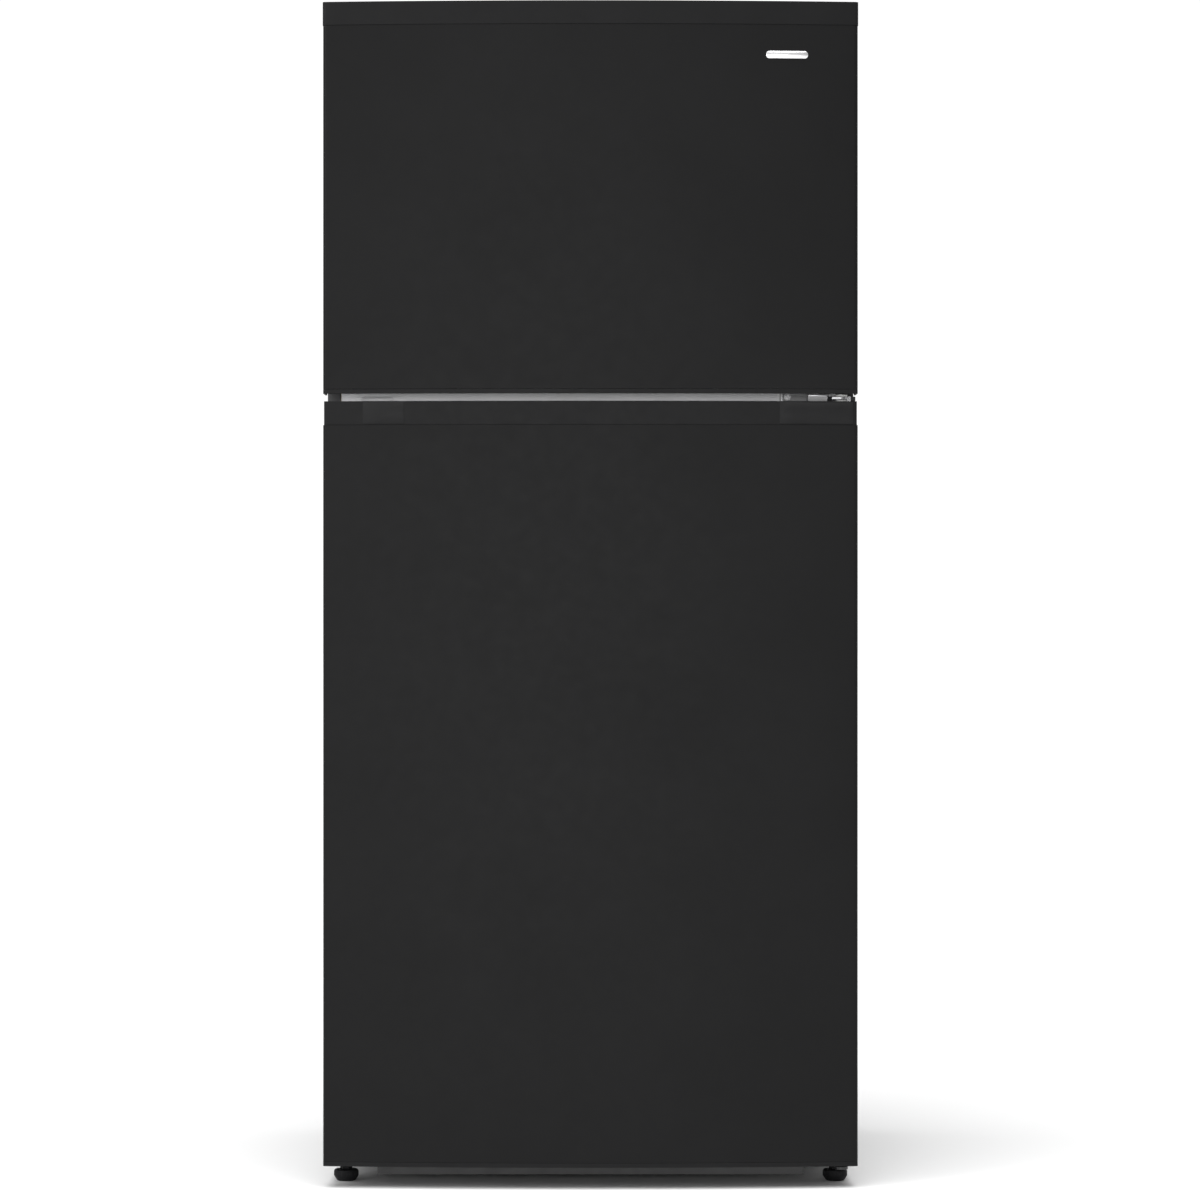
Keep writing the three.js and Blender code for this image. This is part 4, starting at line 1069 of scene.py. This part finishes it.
def air_parts():
    """The evaporator cover, air duct and control housing, with their lamps, screws and rims."""
    keep_cad("evaporator_cover", "white_plastic", 0.7 * MM, 3)
    keep_cad("fridge_air_duct", "white_plastic", 2.2 * MM, 3)
    keep_cad("control_housing", "white_plastic", 3.0 * MM, 4)
    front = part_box("evaporator_cover")[0].y
    air_rims(front)
    lamp_cover("freezer_lamp_lens", mm((180, 290, 1570, 1610)), 12, front - 9 * MM, front + 0.5 * MM, 3)
    for i, (x, z) in enumerate(mm([(-330, 1680), (330, 1680), (-330, 1250), (330, 1250)])):
        screw(f"evaporator_cover_screw_{i + 1}", (x, front + 0.1 * MM, z), FRONT, "white_plastic", "cabinet",
              6 * MM, 2.4 * MM, "round")
    low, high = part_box("control_housing")
    sides = (-140 * MM, -10 * MM, low.z + 9 * MM, high.z - 9 * MM)
    lamp_cover("fridge_lamp_lens", sides, 8, low.y - 3 * MM, low.y + 0.5 * MM, 1.6)
    temperature_scale(low.y)


# CAD nodes of the cabinet that stay in view: look, edge width in mm, segments.
PLAIN_PARTS = {
    # The base pan, both its underside and its front apron behind the doors' bottoms, is black enamel. It is a
    # real part, but its black also stands in for the shade under the fridge (painted shade).
    "base_pan": ("black_enamel", 0.3, 2),
    "insulation_foam": ("foam", 0, 2),
    "mullion_rail": ("rail_grey", 0.4, 2),
    "hinge_hole_cover": ("cover_grey", 0.8, 3),
    "top_hinge_bracket": ("zinc_steel", 0.5, 2),
    "top_hinge_cover": ("door_plastic", 1.6, 4),
    "middle_hinge_bracket": ("nickel_steel", 0.5, 2),
    "bottom_hinge_bracket": ("black_enamel", 0.7, 2),
    "left_foot_bracket": ("black_enamel", 0.7, 2),
    "compressor_tray": ("black_enamel", 0.4, 2),
    "machine_room_cover": ("dark_plastic", 0.6, 2),
    "drip_tray": ("dark_plastic", 0.6, 2),
    "drain_tube": ("white_plastic", 0, 2),
    "evaporator_coil": ("aluminium", 0.3, 2),
    "fan_motor": ("dark_plastic", 1, 2),
    "evaporator_fan": ("dark_plastic", 0.8, 2),
    "humidity_slider": ("dark_plastic", 0.8, 3),
}


def liners():
    """Both vacuum-formed compartments with their shelf ledges."""
    half, rear = LINER_HALF, LINER_REAR
    compartment("freezer_liner_form", "freezer_liner", half, 1205 * MM, 1692 * MM, rear)
    compartment("fridge_liner_form", "fridge_liner", half, 100 * MM, 1140 * MM, rear, step=mm((80, 330)))
    front = -150 * MM
    ledges = ledge_pair(half, front, 215 * MM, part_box("freezer_shelf")[1].z - 7 * MM)
    for i in (1, 2, 3):
        ledges += ledge_pair(half, front, 255 * MM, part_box(f"fridge_shelf_{i}")[1].z - 6 * MM)
    ledges += ledge_pair(half, front, 79 * MM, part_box("crisper_cover")[1].z - 8 * MM)
    piece("liner_ledges", ledges, "white_plastic", "cabinet", sharp=50)


def build_cabinet():
    """Everything but the doors."""
    case_shell()
    for node, (look, width, segments) in PLAIN_PARTS.items():
        keep_cad(node, look, width * MM, segments)
    liners()
    for node in ("freezer_shelf", "fridge_shelf_1", "fridge_shelf_2", "fridge_shelf_3"):
        glass_shelf(node)
    crisper_lid()
    crisper_drawer("crisper_left")
    crisper_drawer("crisper_right")
    dial("freezer_airflow_knob")
    dial("fridge_temperature_knob")
    for side in ("left", "right"):
        foot(f"front_foot_{side}")
        wheel(f"rear_roller_{side}")
    pressed_back()
    machine_room()
    hinge_details()
    ice_maker()
    air_parts()


# ---------------------------------------------------------------- studio

def add_lamp(name, kind, place, aim, energy, size):
    """A sun, whose size is its angle, or a rectangular area lamp of that size."""
    data = bpy.data.lights.new(name, kind)
    data.energy = energy
    if kind == "AREA":
        data.shape = "RECTANGLE"
        data.size, data.size_y = size
    else:
        data.angle = size
    made = add_object(name, data)
    made.location = place
    made.rotation_euler = (Vector(aim) - Vector(place)).to_track_quat("-Z", "Y").to_euler()


def studio():
    """Floor, a world that the camera sees brighter than the object does, and three lamps."""
    floor = add_object("floor", slab(circle(0, 0, 60, 96), "z", -20 * MM, 0, 1 * MM))
    floor.data.materials.append(LOOKS["floor"])

    world = bpy.data.worlds.new("studio")
    bpy.context.scene.world = world
    world.use_nodes = True
    nodes = world.node_tree.nodes
    links = world.node_tree.links
    nodes.clear()
    path = nodes.new("ShaderNodeLightPath")
    mix = nodes.new("ShaderNodeMixShader")
    links.new(path.outputs["Is Camera Ray"], mix.inputs["Fac"])
    light_strength = 0.4
    seen_strength = 1.05
    for i, strength in ((1, light_strength), (2, seen_strength)):
        background = nodes.new("ShaderNodeBackground")
        background.inputs["Color"].default_value = (1, 1, 1, 1)
        background.inputs["Strength"].default_value = strength
        links.new(background.outputs["Background"], mix.inputs[i])
    out = nodes.new("ShaderNodeOutputWorld")
    links.new(mix.outputs["Shader"], out.inputs["Surface"])

    add_lamp("sky_light", "SUN", (-0.2, -1.8, 5), (0, 0, 0), 3.3, math.radians(60))
    add_lamp("left_softbox", "AREA", (-4.2, -3.6, 2.6), (0, -0.3, 1.2), 90, (2.4, 3.0))
    add_lamp("front_softbox", "AREA", (-0.6, -8.5, 1.3), (0, -0.3, 1.1), 100, (3.0, 1.6))

    scene = bpy.context.scene
    scene.view_settings.view_transform = "Standard"
    scene.view_settings.look = "None"
    scene.view_settings.exposure = 0
    scene.view_settings.gamma = 1


def camera():
    """Straight at the doors; the lens is set by the width that it sees at the doors' sides."""
    data = bpy.data.cameras.new("camera")
    data.sensor_width = 36
    distance = 6.0
    width_at_doors = 1771.9 * MM
    data.lens = data.sensor_width * distance / width_at_doors
    data.clip_end = 200
    made = add_object("camera", data)
    made.location = (14.1 * MM, DOOR_APEX + BOW - distance, 869 * MM)
    made.rotation_euler = (math.radians(90), 0, 0)
    bpy.context.scene.camera = made


camera()
studio()
build_cabinet()
build_doors()
